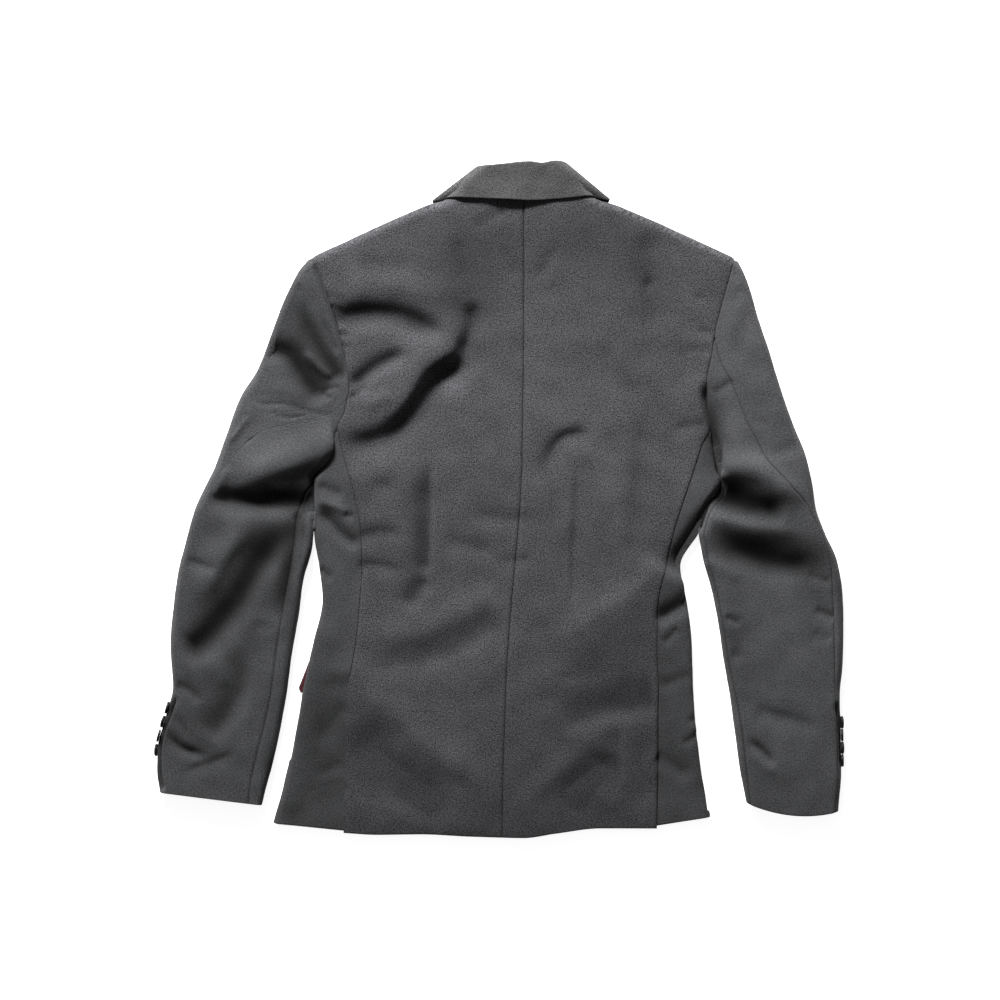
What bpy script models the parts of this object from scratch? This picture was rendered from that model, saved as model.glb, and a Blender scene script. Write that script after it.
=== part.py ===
"""A tailored jacket laid out flat on its front: back up, collar towards +Y, wearer's left at -X.

Every cloth panel is a wall cut from one of three flattened rings: the body, a sleeve or the neck.
A ring has an upper layer and a lower layer, which meet in a rounded edge along its outline.
The tables hold the cut, in millimetres, one row for each section down the garment.
"""
import math

import bpy
import numpy as np
from mathutils import Vector

# Driving sizes, in millimetres.
CLOTH = 2.0           # one wall: shell cloth with the canvas and lining behind it
SEAM = 0.4            # clear width between two sewn pieces
PLY = CLOTH + SEAM    # rise of a panel that lies on another
ROUND = 8.0           # widest rounding of a folded edge, seen from above
SHOULDER_ROUND = 10.0
EDGE_SHARE = 0.45     # height of a folded edge, as a share of the height beside it
RAMP = 40.0           # width over which the fronts rise onto what lies under them
REST_LIFT = 3.4       # height of the fronts above the floor where pieces lie under them
LAP_RISE = 3.0        # rise of the right front over the left one
TOUCH_END = -37.5     # y where the sleeves leave the body's sides
LAST_ROW = -330.5     # y of the last row above the hems
ARMPIT = 21.5         # y where the two sleeve layers close into a tube
ARMHOLE_FOOT = 79.0   # y where the side panel meets the armhole on the back
FRONT_FOOT = 60.0     # y where the front seam meets the armhole, on the lower layer
BLEND = -8.0          # y below which the side panel's rows run straight across
VENT_TOP = -209.5
VENT_RAMP = 24.0      # length over which the side panel sinks under the back above a vent
UNDERLAP = 33.0       # width of the side panel under the back beside a vent
SHOULDER_TIP = 267.0
SHOULDER_INSET = 0.012  # distance of both panels from the outline, where the edge stands upright
STAND_REACH = 27.0    # length of the collar stand on the front, from the neck point
FALL_REACH = 42.0     # length of the collar leaf on the front, from the side of the neck
NECK_CENTRE = 27.0    # x of the centre seam at the neck
HEM_CENTRE = 3.5      # x of the centre seam at the hem
NECK_SHARE = 0.30     # share of a back panel's top that lies along the neck
NECK_DROP = 2.0       # distance of the backs' top from the line where the neck's two layers part
LAP_REACH = 20.0      # how far past the left front's edge the right front is fully raised
THIN_EDGE = 2.6       # a thin body's edge rounds off over its half height squared, over this
LEAST_ROUND = 3.6     # narrowest rounding of the body's edge
SIDE_GAP = {True: 0.5, False: 0.9}  # side panel's distance from its seam lines, back and front, in seams
SINK_CLEAR = 3.0      # length above the vent over which the side panel is fully sunk
SINK_START = 9.0      # distance from the body's edge where the side panel starts to sink
SINK_RAMP = 25.0      # width over which it sinks
HEAD_GAP_FROM = 225.0   # y above which the sleeve's head stands a further seam off the armhole
HEAD_GAP_RAMP = 20.0
FOREARM_START = 15.0  # length below the armpit over which the forearm seam leaves the inner edge
UNDERARM = 30.0       # y below which the under sleeve's edge stands further off, as far as the next row
UNDERARM_RAMP = 8.0
UNDERARM_GAP = 1.5    # how much further, in seams
HIND_GAP = 1.25       # under sleeve's distance from the hind-arm seam, in seams
HIND_START = 3.0      # width of under sleeve over which the hind-arm seam opens
UNDER_TIP = 1.6       # width of the under sleeve's first row
UNDER_ROW = 6.0       # least width of the rows that follow
SLEEVE_RAMP = 90.0    # length below the armpit over which the sleeve's inner edge reaches its own height
SLEEVE_SLOPE = 0.6    # share of a row over which the sleeve rises from its inner edge
WIDEST_TURN = 0.45    # share of a narrow sleeve row that one rounded edge may take
SHARES = 4001         # fine stations used to find a place on the sleeve
FLAP_CLOTH = 1.3
FLAP_LINING = 1.0
FRONT_BUTTON = {"radius": 10.0, "thick": 3.0, "rim": 0.7, "dish": 6.5}
CUFF_BUTTON = {"radius": 6.9, "thick": 2.6, "rim": 0.6, "dish": 4.4}
BUTTON_STEPS = 14
BUTTON_GAP = 0.1
CUFF_BUTTON_ROWS = {"left": (-229.0, -244.5, -260.0, -275.5), "right": (-245.0, -259.0, -273.0, -287.0)}
FRONT_BUTTON_PLACES = ((23.0, 18.5), (13.0, -99.5))
SIDES = {"left": -1.0, "right": 1.0}


def table(columns, rows):
    """A table as one array for each named column."""
    return dict(zip(columns.split(), np.array(rows, dtype=float).T))


# Body sections from the neck down. Above the armhole's foot the edge and both seams are the armhole.
BODY = table("y left_edge left_back left_front centre right_front right_back right_edge side mid", (
    (340.0, -205.5, -205.5, -205.5, 27.0, 259.0, 259.0, 259.0, 23.0, 28.0),
    (267.0, -205.5, -205.5, -205.5, 27.0, 259.0, 259.0, 259.0, 21.0, 26.0),
    (246.0, -198.5, -198.5, -198.5, 27.0, 254.0, 254.0, 254.0, 21.0, 25.5),
    (215.5, -187.0, -187.0, -187.0, 27.0, 245.5, 245.5, 245.5, 20.5, 24.5),
    (183.5, -177.0, -177.0, -177.0, 27.0, 237.5, 237.5, 237.5, 20.5, 24.0),
    (158.0, -171.0, -171.0, -171.0, 27.0, 233.5, 233.5, 233.5, 20.0, 23.0),
    (126.0, -166.0, -166.0, -166.0, 26.5, 228.0, 228.0, 228.0, 19.5, 22.0),
    (98.5, -169.5, -169.5, -169.5, 26.0, 229.5, 229.5, 229.5, 19.0, 21.5),
    (79.0, -178.0, -178.0, -178.0, 26.0, 233.0, 233.0, 233.0, 18.5, 21.0),
    (60.0, -185.5, -174.5, -185.5, 25.5, 238.5, 223.5, 238.5, 17.5, 20.5),
    (41.5, -191.0, -169.5, -176.5, 25.5, 229.5, 217.5, 241.5, 17.0, 20.0),
    (21.5, -205.0, -164.0, -166.5, 24.5, 213.5, 211.0, 244.0, 16.5, 19.0),
    (-8.0, -204.5, -157.0, -160.0, 23.0, 197.0, 201.0, 230.5, 15.0, 18.0),
    (-37.5, -204.0, -152.5, -157.5, 20.5, 183.0, 192.0, 219.0, 14.0, 17.0),
    (-73.0, -198.5, -151.5, -154.5, 17.5, 171.5, 184.0, 199.5, 13.0, 16.0),
    (-111.5, -195.0, -154.0, -151.0, 14.0, 166.5, 175.5, 206.5, 12.5, 15.0),
    (-154.5, -204.5, -158.0, -157.5, 10.5, 167.5, 174.0, 212.0, 12.5, 14.5),
    (-209.5, -216.0, -166.5, -166.5, 7.5, 171.5, 175.0, 214.0, 12.5, 13.5),
    (-242.5, -222.0, -168.0, -172.0, 6.5, 172.5, 174.5, 216.0, 11.5, 12.5),
    (-286.5, -230.0, -170.0, -179.5, 5.0, 175.5, 174.5, 221.0, 9.5, 10.2),
    (-330.5, -240.0, -171.0, -188.5, 4.0, 181.0, 174.0, 228.0, 7.5, 8.0),
    (-369.0, -251.0, -171.5, -197.0, 3.5, 185.5, 173.5, 234.0, 7.2, 7.6)))

# Upper outline of the body: shoulder lines and the sides of the neck.
TOP_EDGE = table("x y", (
    (-300.0, 222.0), (-219.0, 261.0), (-204.0, 268.0), (-120.0, 306.5), (-74.0, 325.5), (-65.0, 327.5),
    (-46.5, 338.5), (-36.5, 350.0), (-20.0, 372.0), (0.0, 398.0), (48.0, 398.0), (68.0, 378.0),
    (85.5, 351.0), (94.5, 339.0), (113.0, 328.0), (122.0, 326.0), (164.5, 309.0), (216.5, 285.5),
    (259.0, 266.0), (273.5, 259.0), (350.0, 222.0)))

# Sleeve sections from the shoulder down: both ends of a row, the place of the two sleeve seams as a
# share of the row from its inner end, the height of the laid sleeve and the sag of the row.
SLEEVE_COLUMNS = "outer_x outer_y inner_x inner_y hind forearm height sag"
SLEEVES = {
    "left": table(SLEEVE_COLUMNS, (
        (-210.5, 263.9, -205.0, 266.2, 0.0, 0.0, 20.0, 0.0),
        (-221.5, 250.5, -199.5, 247.0, 0.0, 0.0, 21.0, 0.0),
        (-234.5, 224.0, -187.5, 215.5, 0.0, 0.0, 22.0, 0.0),
        (-245.5, 197.5, -177.5, 183.5, 0.0, 0.0, 23.0, 0.0),
        (-254.5, 171.5, -170.0, 152.5, 0.0, 0.0, 24.0, 0.0),
        (-267.0, 141.5, -166.0, 118.5, 0.0, 0.0, 24.0, 0.0),
        (-285.0, 112.0, -171.5, 95.5, 0.10, 0.0, 24.0, 0.0),
        (-297.5, 79.0, -185.0, 61.5, 0.69, 0.0, 24.0, 0.0),
        (-311.5, 39.5, -194.5, 37.0, 0.887, 0.0, 24.0, 0.0),
        (-323.5, 15.0, -204.7, 13.0, 0.95, 0.05, 23.0, 0.0),
        (-336.0, -13.5, -204.7, -22.5, 0.955, 0.145, 22.5, 0.0),
        (-344.5, -44.5, -205.5, -53.0, 0.96, 0.15, 22.0, 0.0),
        (-353.5, -79.5, -215.0, -88.5, 0.96, 0.12, 22.0, 0.0),
        (-358.5, -117.0, -220.5, -128.0, 0.96, 0.13, 21.0, 0.0),
        (-362.0, -160.0, -228.5, -174.0, 0.955, 0.125, 20.0, 0.0),
        (-359.5, -205.0, -234.0, -216.0, 0.955, 0.135, 19.0, 0.0),
        (-368.0, -241.0, -240.5, -251.0, 0.965, 0.14, 18.0, 0.0),
        (-376.0, -272.0, -247.0, -282.0, 0.963, 0.149, 17.5, 0.0),
        (-377.0, -297.5, -253.5, -307.0, 0.958, 0.15, 17.0, 0.0),
        (-373.5, -322.0, -261.0, -336.0, 0.96, 0.13, 17.0, 0.0))),
    "right": table(SLEEVE_COLUMNS, (
        (263.0, 262.2, 258.5, 264.3, 0.0, 0.0, 20.0, 0.0),
        (269.0, 250.5, 254.0, 245.0, 0.0, 0.0, 21.0, 0.0),
        (278.0, 224.0, 246.0, 216.5, 0.0, 0.0, 22.0, 0.0),
        (285.5, 197.5, 238.5, 186.5, 0.0, 0.0, 23.0, 0.0),
        (294.5, 171.5, 233.5, 156.0, 0.135, 0.0, 24.0, 0.0),
        (303.5, 141.5, 228.0, 125.0, 0.344, 0.0, 24.0, 0.0),
        (313.0, 112.0, 229.0, 97.5, 0.425, 0.0, 24.0, 0.0),
        (324.0, 81.0, 235.0, 71.0, 0.469, 0.0, 24.0, 0.0),
        (337.5, 48.0, 241.0, 46.0, 0.53, 0.0, 24.0, 0.0),
        (344.5, 16.0, 242.5, 19.5, 0.747, 0.01, 23.0, 0.0),
        (348.0, -9.0, 230.0, -9.0, 0.93, 0.035, 22.5, 0.0),
        (357.0, -33.5, 218.5, -39.0, 0.965, 0.035, 22.0, 0.0),
        (371.5, -66.5, 223.0, -62.0, 0.947, 0.035, 22.0, 0.0),
        (377.5, -99.5, 233.5, -100.5, 0.92, 0.035, 21.0, 0.0),
        (379.0, -138.0, 241.0, -138.0, 0.917, 0.035, 20.0, 0.0),
        (378.5, -176.5, 247.0, -178.5, 0.925, 0.038, 19.0, 0.0),
        (375.0, -216.0, 253.5, -217.0, 0.955, 0.055, 18.0, 0.0),
        (376.0, -253.5, 259.0, -255.5, 0.965, 0.07, 17.5, 1.0),
        (376.5, -299.5, 264.5, -297.5, 0.965, 0.066, 17.0, 4.0),
        (373.5, -343.0, 271.5, -333.5, 0.965, 0.045, 17.0, 9.0))),
}

# Front edges from the neck point down the lapel's roll line, the overlap and the rounded corner.
FRONT_EDGE = table("y left right", (
    (338.5, -47.2, 95.2), (326.5, -40.7, 88.2), (312.0, -32.7, 80.7), (250.5, -15.5, 63.5),
    (189.0, 1.0, 46.0), (106.5, 23.0, 24.0), (32.5, 42.5, 3.0), (-66.5, 36.0, -4.5),
    (-198.5, 28.5, -11.5), (-253.5, 23.0, -6.0), (-303.0, 9.5, 8.5), (-336.0, -13.5, 31.5),
    (-351.0, -43.0, 61.5)))

# The hem under the back, and the ends of the other hems.
BACK_HEM = table("x y", (
    (-171.0, -367.0), (-134.5, -369.0), (-87.5, -368.5), (-30.5, -371.0), (26.5, -372.5),
    (63.0, -367.5), (112.0, -362.0), (173.5, -362.0)))
SIDE_HEM = {"left": {"back": -364.5, "edge": -356.5, "front": -354.5},
            "right": {"back": -359.0, "edge": -349.5, "front": -350.0}}

# The collar's roll line, the free edge of its leaf, and the two sides of the flattened neck.
ROLL = table("x y", ((-26.0, 363.2), (-23.5, 364.4), (6.5, 366.9), (34.5, 368.9), (47.0, 367.7),
                     (62.5, 370.3), (73.0, 368.4), (74.5, 367.6)))
LEAF = table("x y", ((-73.0, 327.2), (-50.0, 331.0), (-0.5, 329.0), (31.0, 327.5), (76.5, 330.5),
                     (97.5, 332.5), (121.0, 328.8)))
NECK_SEAM = table("x y", ((-46.5, 340.0), (-20.0, 341.4), (27.0, 341.8), (70.0, 341.4), (94.5, 340.4)))
STAND_ROLL = table("x y", ((-25.2, 361.4), (6.5, 365.2), (34.5, 367.0), (62.5, 367.2), (73.4, 365.4)))

# Lapels: the share of the way down the roll line, and the width there.
LAPEL = table("share width", ((0.0, 36.0), (0.13, 64.0), (0.40, 58.0), (0.70, 37.0), (1.0, 11.0)))
LAPEL_TOP = 272.0
LAPEL_RISE = REST_LIFT - SEAM - CLOTH
LAPEL_END = {"left": 58.0, "right": 120.0}
LAPEL_PEAK = 10.0     # rise of the lapel's upper corner over its roll line
LAPEL_DROP = 8.0      # drop of its free edge below, further down
LAPEL_NOTCH = 0.2     # share of its length that the peak takes

# Hip pocket flaps: corners in order round the flap, from the upper one at the side seam.
FLAPS = {"left": ((-207.0, -171.0), (-221.2, -207.5), (-219.0, -212.5), (-76.0, -233.5), (-69.5, -185.0)),
         "right": ((203.0, -173.0), (207.0, -209.0), (203.5, -214.5), (84.0, -233.5), (78.0, -185.0))}

# Where the fronts lie on other pieces: over the collar ends, lapels and buttons, and over the flaps.
PADS = table("x_low x_high y_low y_high", (
    (-122.0, 185.0, -138.0, 372.0),
    (-228.0, 214.0, -245.0, -152.0)))

MATERIALS = {
    "suiting": {"colour": (0.066, 0.065, 0.071), "roughness": 0.92},
    "flap_lining": {"colour": (0.115, 0.018, 0.022), "roughness": 0.55},
    "horn_black": {"colour": (0.018, 0.018, 0.019), "roughness": 0.35},
}


# Reading the tables.

def glide(knots, values, at):
    """Smooth curve through a table's points that never overshoots them, held flat past both ends.

    Each cubic piece takes the harmonic mean of the two chords' slopes at its ends, or 0 at a turn."""
    if knots[0] > knots[-1]:
        knots, values = knots[::-1], values[::-1]
    gaps = np.diff(knots)
    steps = np.diff(values) / gaps
    same_way = steps[:-1] * steps[1:] > 0.0
    total = np.where(same_way, steps[:-1] + steps[1:], 1.0)
    inner_slopes = np.where(same_way, 2.0 * steps[:-1] * steps[1:] / total, 0.0)
    slopes = np.concatenate(([steps[0]], inner_slopes, [steps[-1]]))
    at = np.clip(at, knots[0], knots[-1])
    cell = np.clip(np.searchsorted(knots, at, side="right") - 1, 0, len(gaps) - 1)
    part = (at - knots[cell]) / gaps[cell]
    start, end = values[cell], values[cell + 1]
    rest = 1.0 - part
    pull = gaps[cell] * part * rest * (slopes[cell] * rest - slopes[cell + 1] * part)
    return start + (end - start) * part ** 2 * (3.0 - 2.0 * part) + pull


def body(column, y):
    return glide(BODY["y"], BODY[column], y)


def ease(value):
    """0 to 1 with flat ends."""
    value = np.clip(value, 0.0, 1.0)
    return value * value * (3.0 - 2.0 * value)


def mix(start, end, share):
    return start + (end - start) * share


def bow(distance, width):
    """Profile of a folded edge: 0 and upright at the outline, 1 and level from its width inwards."""
    part = 1.0 - np.clip(distance / width, 0.0, 1.0)
    return np.sqrt(np.clip(1.0 - part * part, 0.0, 1.0))


def slope_of(curve, at, step=0.5):
    return (curve(at + step) - curve(at - step)) / (2.0 * step)


# Heights of the two layers.

def lift(x, y):
    """Lift of the lower panels over the collar ends, lapels, flaps and front buttons."""
    share = np.zeros(np.broadcast(x, y).shape)
    for low_x, high_x, low_y, high_y in zip(*PADS.values()):
        along_x = ease((x - low_x) / RAMP + 1.0) * ease((high_x - x) / RAMP + 1.0)
        along_y = ease((y - low_y) / RAMP + 1.0) * ease((high_y - y) / RAMP + 1.0)
        share = np.maximum(share, along_x * along_y)
    return REST_LIFT * share


def lapel_edges(side, y):
    """x of a lapel's free edge and of its roll line."""
    share = (LAPEL_TOP - y) / (LAPEL_TOP - LAPEL_END[side])
    roll = glide(FRONT_EDGE["y"], FRONT_EDGE[side], y) + SIDES[side] * 1.0
    return roll + SIDES[side] * glide(LAPEL["share"], LAPEL["width"], share), roll


def body_height(side, x, y):
    """Height of the body's upper layer, away from its edges."""
    reach = body(side + "_edge", y) - body("centre", y)
    share = np.clip(np.abs((x - body("centre", y)) / reach), 0.0, 1.0)
    return mix(body("mid", y), body("side", y), share ** 2)


def top_edge(x):
    return glide(TOP_EDGE["x"], TOP_EDGE["y"], x)


def outer_edge(side, y):
    """x of a sleeve's outer outline."""
    return glide(SLEEVES[side]["outer_y"], SLEEVES[side]["outer_x"], y)


def inner_edge(side, y):
    """x of a sleeve's inner end: the armhole seam, and below the armpit its inner outline."""
    rows = SLEEVES[side]["inner_y"] < TOUCH_END - 5.0
    knots = np.concatenate(([TOUCH_END], SLEEVES[side]["inner_y"][rows]))
    places = np.concatenate((body(side + "_edge", np.array([TOUCH_END])), SLEEVES[side]["inner_x"][rows]))
    return np.where(y > TOUCH_END, body(side + "_edge", y), glide(knots, places, y))


def outline(side, y):
    """x of the body panels' own outline, half a seam inside the line they share with the sleeve."""
    return body(side + "_edge", y) - SIDES[side] * SEAM / 2.0


def side_line(side, y):
    """x of the body's outline, carried straight up past the armpit."""
    return outline(side, np.minimum(y, ARMPIT))


def fullness(side, x, y, line, width):
    """1 on the flat of a layer, down to 0 where it turns over at the outline."""
    over_shoulder = bow((top_edge(x) - y) / np.hypot(1.0, slope_of(top_edge, x)), SHOULDER_ROUND)
    outer_slope = slope_of(lambda at: outer_edge(side, at), y)
    past_sleeve = bow(np.abs(x - outer_edge(side, y)) / np.hypot(1.0, outer_slope), ROUND)
    line_slope = slope_of(line, y)
    closing = 1.0 - ease((y - ARMPIT) / (ARMHOLE_FOOT - ARMPIT))
    at_line = 1.0 - closing * (1.0 - bow(np.abs(x - line(y)) / np.hypot(1.0, line_slope), width))
    return over_shoulder * past_sleeve * at_line


def layer_height(upper, height, base, full):
    """Height of a point on the upper or lower layer of a ring."""
    middle = EDGE_SHARE * height + (1.0 - EDGE_SHARE) * base
    return np.where(upper, middle + (height - middle) * full, middle - (middle - base) * full)


def body_round(side, y):
    """Width of the body edge's rounding, less where the laid body is thin."""
    thin = EDGE_SHARE * (body("side", y) - lift(body(side + "_edge", y), y))
    return np.clip(thin ** 2 / THIN_EDGE, LEAST_ROUND, ROUND)


def body_point(side, x, y, upper, sink=0.0, raised=0.0):
    """A point of the body's ring, from its place in plan."""
    full = fullness(side, x, y, lambda at: outline(side, at), body_round(side, y))
    height = body_height(side, x, y) - sink
    return np.stack((x, y, layer_height(upper, height, lift(x, y) + raised, full)), axis=-1)


# Walls.

def wall(surface, across, down, out, thick=CLOTH, keep=None):
    """One closed wall: the surface on the outside, and the same surface moved in by its thickness.

    out is 1 where the outside faces along x down, -1 where it faces the other way.
    keep says which cells of the grid are cloth."""
    u, v = np.meshgrid(across, down)
    step = 2e-4 * (across[-1] - across[0])
    drop = 2e-4 * (down[-1] - down[0])
    outer = surface(u, v)
    along = surface(np.minimum(u + step, across[-1]), v) - surface(np.maximum(u - step, across[0]), v)
    below = surface(u, np.minimum(v + drop, down[-1])) - surface(u, np.maximum(v - drop, down[0]))
    normal = np.cross(along, below)
    normal *= out / np.linalg.norm(normal, axis=-1, keepdims=True)
    inner = outer - normal * thick
    rows, columns = u.shape
    if keep is None:
        keep = np.ones((rows - 1, columns - 1), dtype=bool)
    front = np.arange(rows * columns).reshape(rows, columns)
    back = front + rows * columns
    faces = []
    for row, column in zip(*np.nonzero(keep)):
        a, b = front[row, column], front[row, column + 1]
        c, d = front[row + 1, column + 1], front[row + 1, column]
        faces.append((a, b, c, d))
        faces.append((d + back[0, 0], c + back[0, 0], b + back[0, 0], a + back[0, 0]))
        edges = ((row - 1, column, a, b), (row, column + 1, b, c),
                 (row + 1, column, c, d), (row, column - 1, d, a))
        for next_row, next_column, start, end in edges:
            inside = 0 <= next_row < rows - 1 and 0 <= next_column < columns - 1
            if not (inside and keep[next_row, next_column]):
                faces.append((end, start, start + back[0, 0], end + back[0, 0]))
    points = np.concatenate((outer.reshape(-1, 3), inner.reshape(-1, 3)))
    return points, faces


def turned_out(points, faces):
    """The faces with their outsides out, whichever way round they were made."""
    volume = 0.0
    for face in faces:
        corners = points[list(face)]
        for second, third in zip(corners[1:-1], corners[2:]):
            volume += np.dot(corners[0], np.cross(second, third))
    return faces if volume > 0.0 else [face[::-1] for face in faces]


def add_piece(name, points, faces, material):
    """A mesh object from points in millimetres, with the points that no face uses left out."""
    used = np.unique(np.concatenate([np.array(face) for face in faces]))
    order = np.full(len(points), -1)
    order[used] = np.arange(len(used))
    faces = [tuple(int(order[corner]) for corner in face) for face in faces]
    points = points[used]
    mesh = bpy.data.meshes.new(name)
    mesh.from_pydata((points * 0.001).tolist(), [], turned_out(points, faces))
    mesh.materials.append(material)
    mesh.shade_smooth()
    mesh.set_sharp_from_angle(angle=math.radians(40.0))
    piece = bpy.data.objects.new(name, mesh)
    bpy.context.scene.collection.objects.link(piece)
    return piece


def add_wall(name, material, surface, across, down, out, thick=CLOTH, keep=None):
    across, down = np.asarray(across, dtype=float), np.asarray(down, dtype=float)
    points, faces = wall(surface, across, down, out, thick, keep)
    return add_piece(name, points, faces, material)


def flat_patch(left, right, top, bottom):
    """Plan of a panel between four edges, each a function of its share from 0 to 1."""
    def plan(u, v):
        ruled = mix(left(v), right(v), u[..., None]) + mix(top(u), bottom(u), v[..., None])
        ends_top = mix(left(v * 0.0), right(v * 0.0), u[..., None])
        ends_bottom = mix(left(v * 0.0 + 1.0), right(v * 0.0 + 1.0), u[..., None])
        return ruled - mix(ends_top, ends_bottom, v[..., None])
    return plan


def pair(x, y):
    x, y = np.broadcast_arrays(x, y)
    return np.stack((x, y), axis=-1)


# Panels of the body.

BODY_ROWS = (246.0, 215.5, 183.5, 158.0, 134.0, 112.0, 96.0, 79.0, 57.25, 35.5, 13.75, BLEND, TOUCH_END,
             -73.0, -111.5, -154.5, -186.0, VENT_TOP, -242.5, -286.5, LAST_ROW)
SHOULDER_TURNS = (0.0, 0.35, 0.75, 1.15)
ARMHOLE_ROWS = (246.0, 215.5, 183.5, 158.0, 134.0, 112.0, 96.0, 79.0, 60.0, 45.0, 30.0, ARMPIT)
FRONT_ROWS = ARMHOLE_ROWS[:8] + (57.0, 40.75, 24.5, 8.25) + BODY_ROWS[11:]
LOWER_SLEEVE_ROWS = (14.125, 6.75, BLEND, TOUCH_END, -62.0, -100.0, -140.0, -180.0, -216.0, -251.0, -282.0,
                     -308.0)


def shoulder_tip(side):
    """y where the shoulder line meets the armhole."""
    return float(top_edge(body(side + "_edge", SHOULDER_TIP) - SIDES[side] * SEAM / 2.0)) - SHOULDER_INSET


def shoulder_rows(side):
    """y of the rows that round the shoulder, closest where it turns most."""
    return [shoulder_tip(side) - SHOULDER_ROUND * (1.0 - math.cos(turn)) for turn in SHOULDER_TURNS]


def neck_y(x):
    return glide(NECK_SEAM["x"], NECK_SEAM["y"], x) - NECK_DROP


def back_panel(side):
    """Plan of a back panel: the centre seam, the armhole and side seam, the shoulder and the hem."""
    sign = SIDES[side]
    corner = -1 if sign > 0 else 0
    hem_y = BACK_HEM["y"][corner]
    neck_x = NECK_SEAM["x"][corner]
    tip = shoulder_tip(side)

    def centre(v):
        y = mix(neck_y(NECK_CENTRE), glide(BACK_HEM["x"], BACK_HEM["y"], HEM_CENTRE), v)
        return pair(body("centre", y) + sign * SEAM / 2.0, y)

    def outside(v):
        y = mix(tip, hem_y, v)
        return pair(body(side + "_back", y) - sign * SEAM / 2.0, y)

    def above(u):
        past_neck = mix(neck_x, outside(0.0 * u)[..., 0], (u - NECK_SHARE) / (1.0 - NECK_SHARE))
        x = np.where(u < NECK_SHARE, mix(NECK_CENTRE, neck_x, u / NECK_SHARE), past_neck)
        shoulder_y = np.minimum(top_edge(x), neck_y(neck_x)) - SHOULDER_INSET
        return pair(x, np.where(u < NECK_SHARE, neck_y(x), shoulder_y))

    def below(u):
        x = mix(centre(1.0 + 0.0 * u)[..., 0], outside(1.0 + 0.0 * u)[..., 0], u)
        return pair(x, glide(BACK_HEM["x"], BACK_HEM["y"], x))

    rows = [(tip - y) / (tip - hem_y) for y in (*shoulder_rows(side), *BODY_ROWS)] + [1.0]
    columns = (0.0, NECK_SHARE / 2.0, NECK_SHARE, 0.42, 0.55, 0.68, 0.80, 0.91, 1.0)
    return flat_patch(centre, outside, above, below), columns, rows


def add_back(side, material):
    plan, columns, rows = back_panel(side)

    def surface(u, v):
        place = plan(u, v)
        return body_point(side, place[..., 0], place[..., 1], True)
    add_wall("back_" + side, material, surface, columns, rows, -SIDES[side])


def front_panel(side):
    """Plan of a front: its edge from the neck point, the armhole and side seam, the shoulder and the hem."""
    sign = SIDES[side]
    hem_y = SIDE_HEM[side]["front"]
    shares = np.linspace(0.0, 1.0, len(FRONT_EDGE["y"]))
    tip = shoulder_tip(side)

    def edge(v):
        share = glide(-FRONT_EDGE["y"], shares, -mix(FRONT_EDGE["y"][0], FRONT_EDGE["y"][-1], v))
        return pair(glide(shares, FRONT_EDGE[side], share), glide(shares, FRONT_EDGE["y"], share))

    def outside(v):
        y = mix(tip, hem_y, v)
        return pair(body(side + "_front", y) - sign * SEAM / 2.0, y)

    def above(u):
        x = mix(FRONT_EDGE[side][0], outside(0.0 * u)[..., 0], u)
        return pair(x, np.minimum(top_edge(x), FRONT_EDGE["y"][0]) - SHOULDER_INSET)

    def below(u):
        x = mix(FRONT_EDGE[side][-1], outside(1.0 + 0.0 * u)[..., 0], u)
        return pair(x, mix(FRONT_EDGE["y"][-1], hem_y, u))

    rows = [(tip - y) / (tip - hem_y) for y in (*shoulder_rows(side), *FRONT_ROWS)] + [1.0]
    return flat_patch(edge, outside, above, below), (0.0, 0.16, 0.36, 0.58, 0.80, 1.0), rows


def add_front(side, material):
    """The wearer's left front laps outside the right one, so here the right one lies higher."""
    plan, columns, rows = front_panel(side)

    def surface(u, v):
        place = plan(u, v)
        x, y = place[..., 0], place[..., 1]
        lap = glide(FRONT_EDGE["y"], FRONT_EDGE["left"], y)
        raised = LAP_RISE * ease((lap + LAP_REACH - x) / RAMP + 1.0) if side == "right" else 0.0
        return body_point(side, x, y, False, raised=raised)
    add_wall("front_" + side, material, surface, columns, rows, SIDES[side])


def arc_length(width, turn_width):
    """Length of a layer's surface across its plan width, with a rounded edge at one end."""
    return width + (math.pi / 2.0 - 1.0) * turn_width


def arc_plan(length, turn_width):
    """Plan distance from a rounded edge, at a length along the surface from it."""
    turned = turn_width * (1.0 - np.cos(np.clip(length / turn_width, 0.0, math.pi / 2.0)))
    return turned + np.maximum(length - turn_width * math.pi / 2.0, 0.0)


SIDE_EDGE = 0.54      # where the folded edge lies across the side panel
SIDE_CORNER = 0.05    # share of each leg that the panel's top corner takes
FOOT_DROP = {True: 4.0, False: 3.0}  # drop of its top corners below the armhole's foot, back and front


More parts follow.
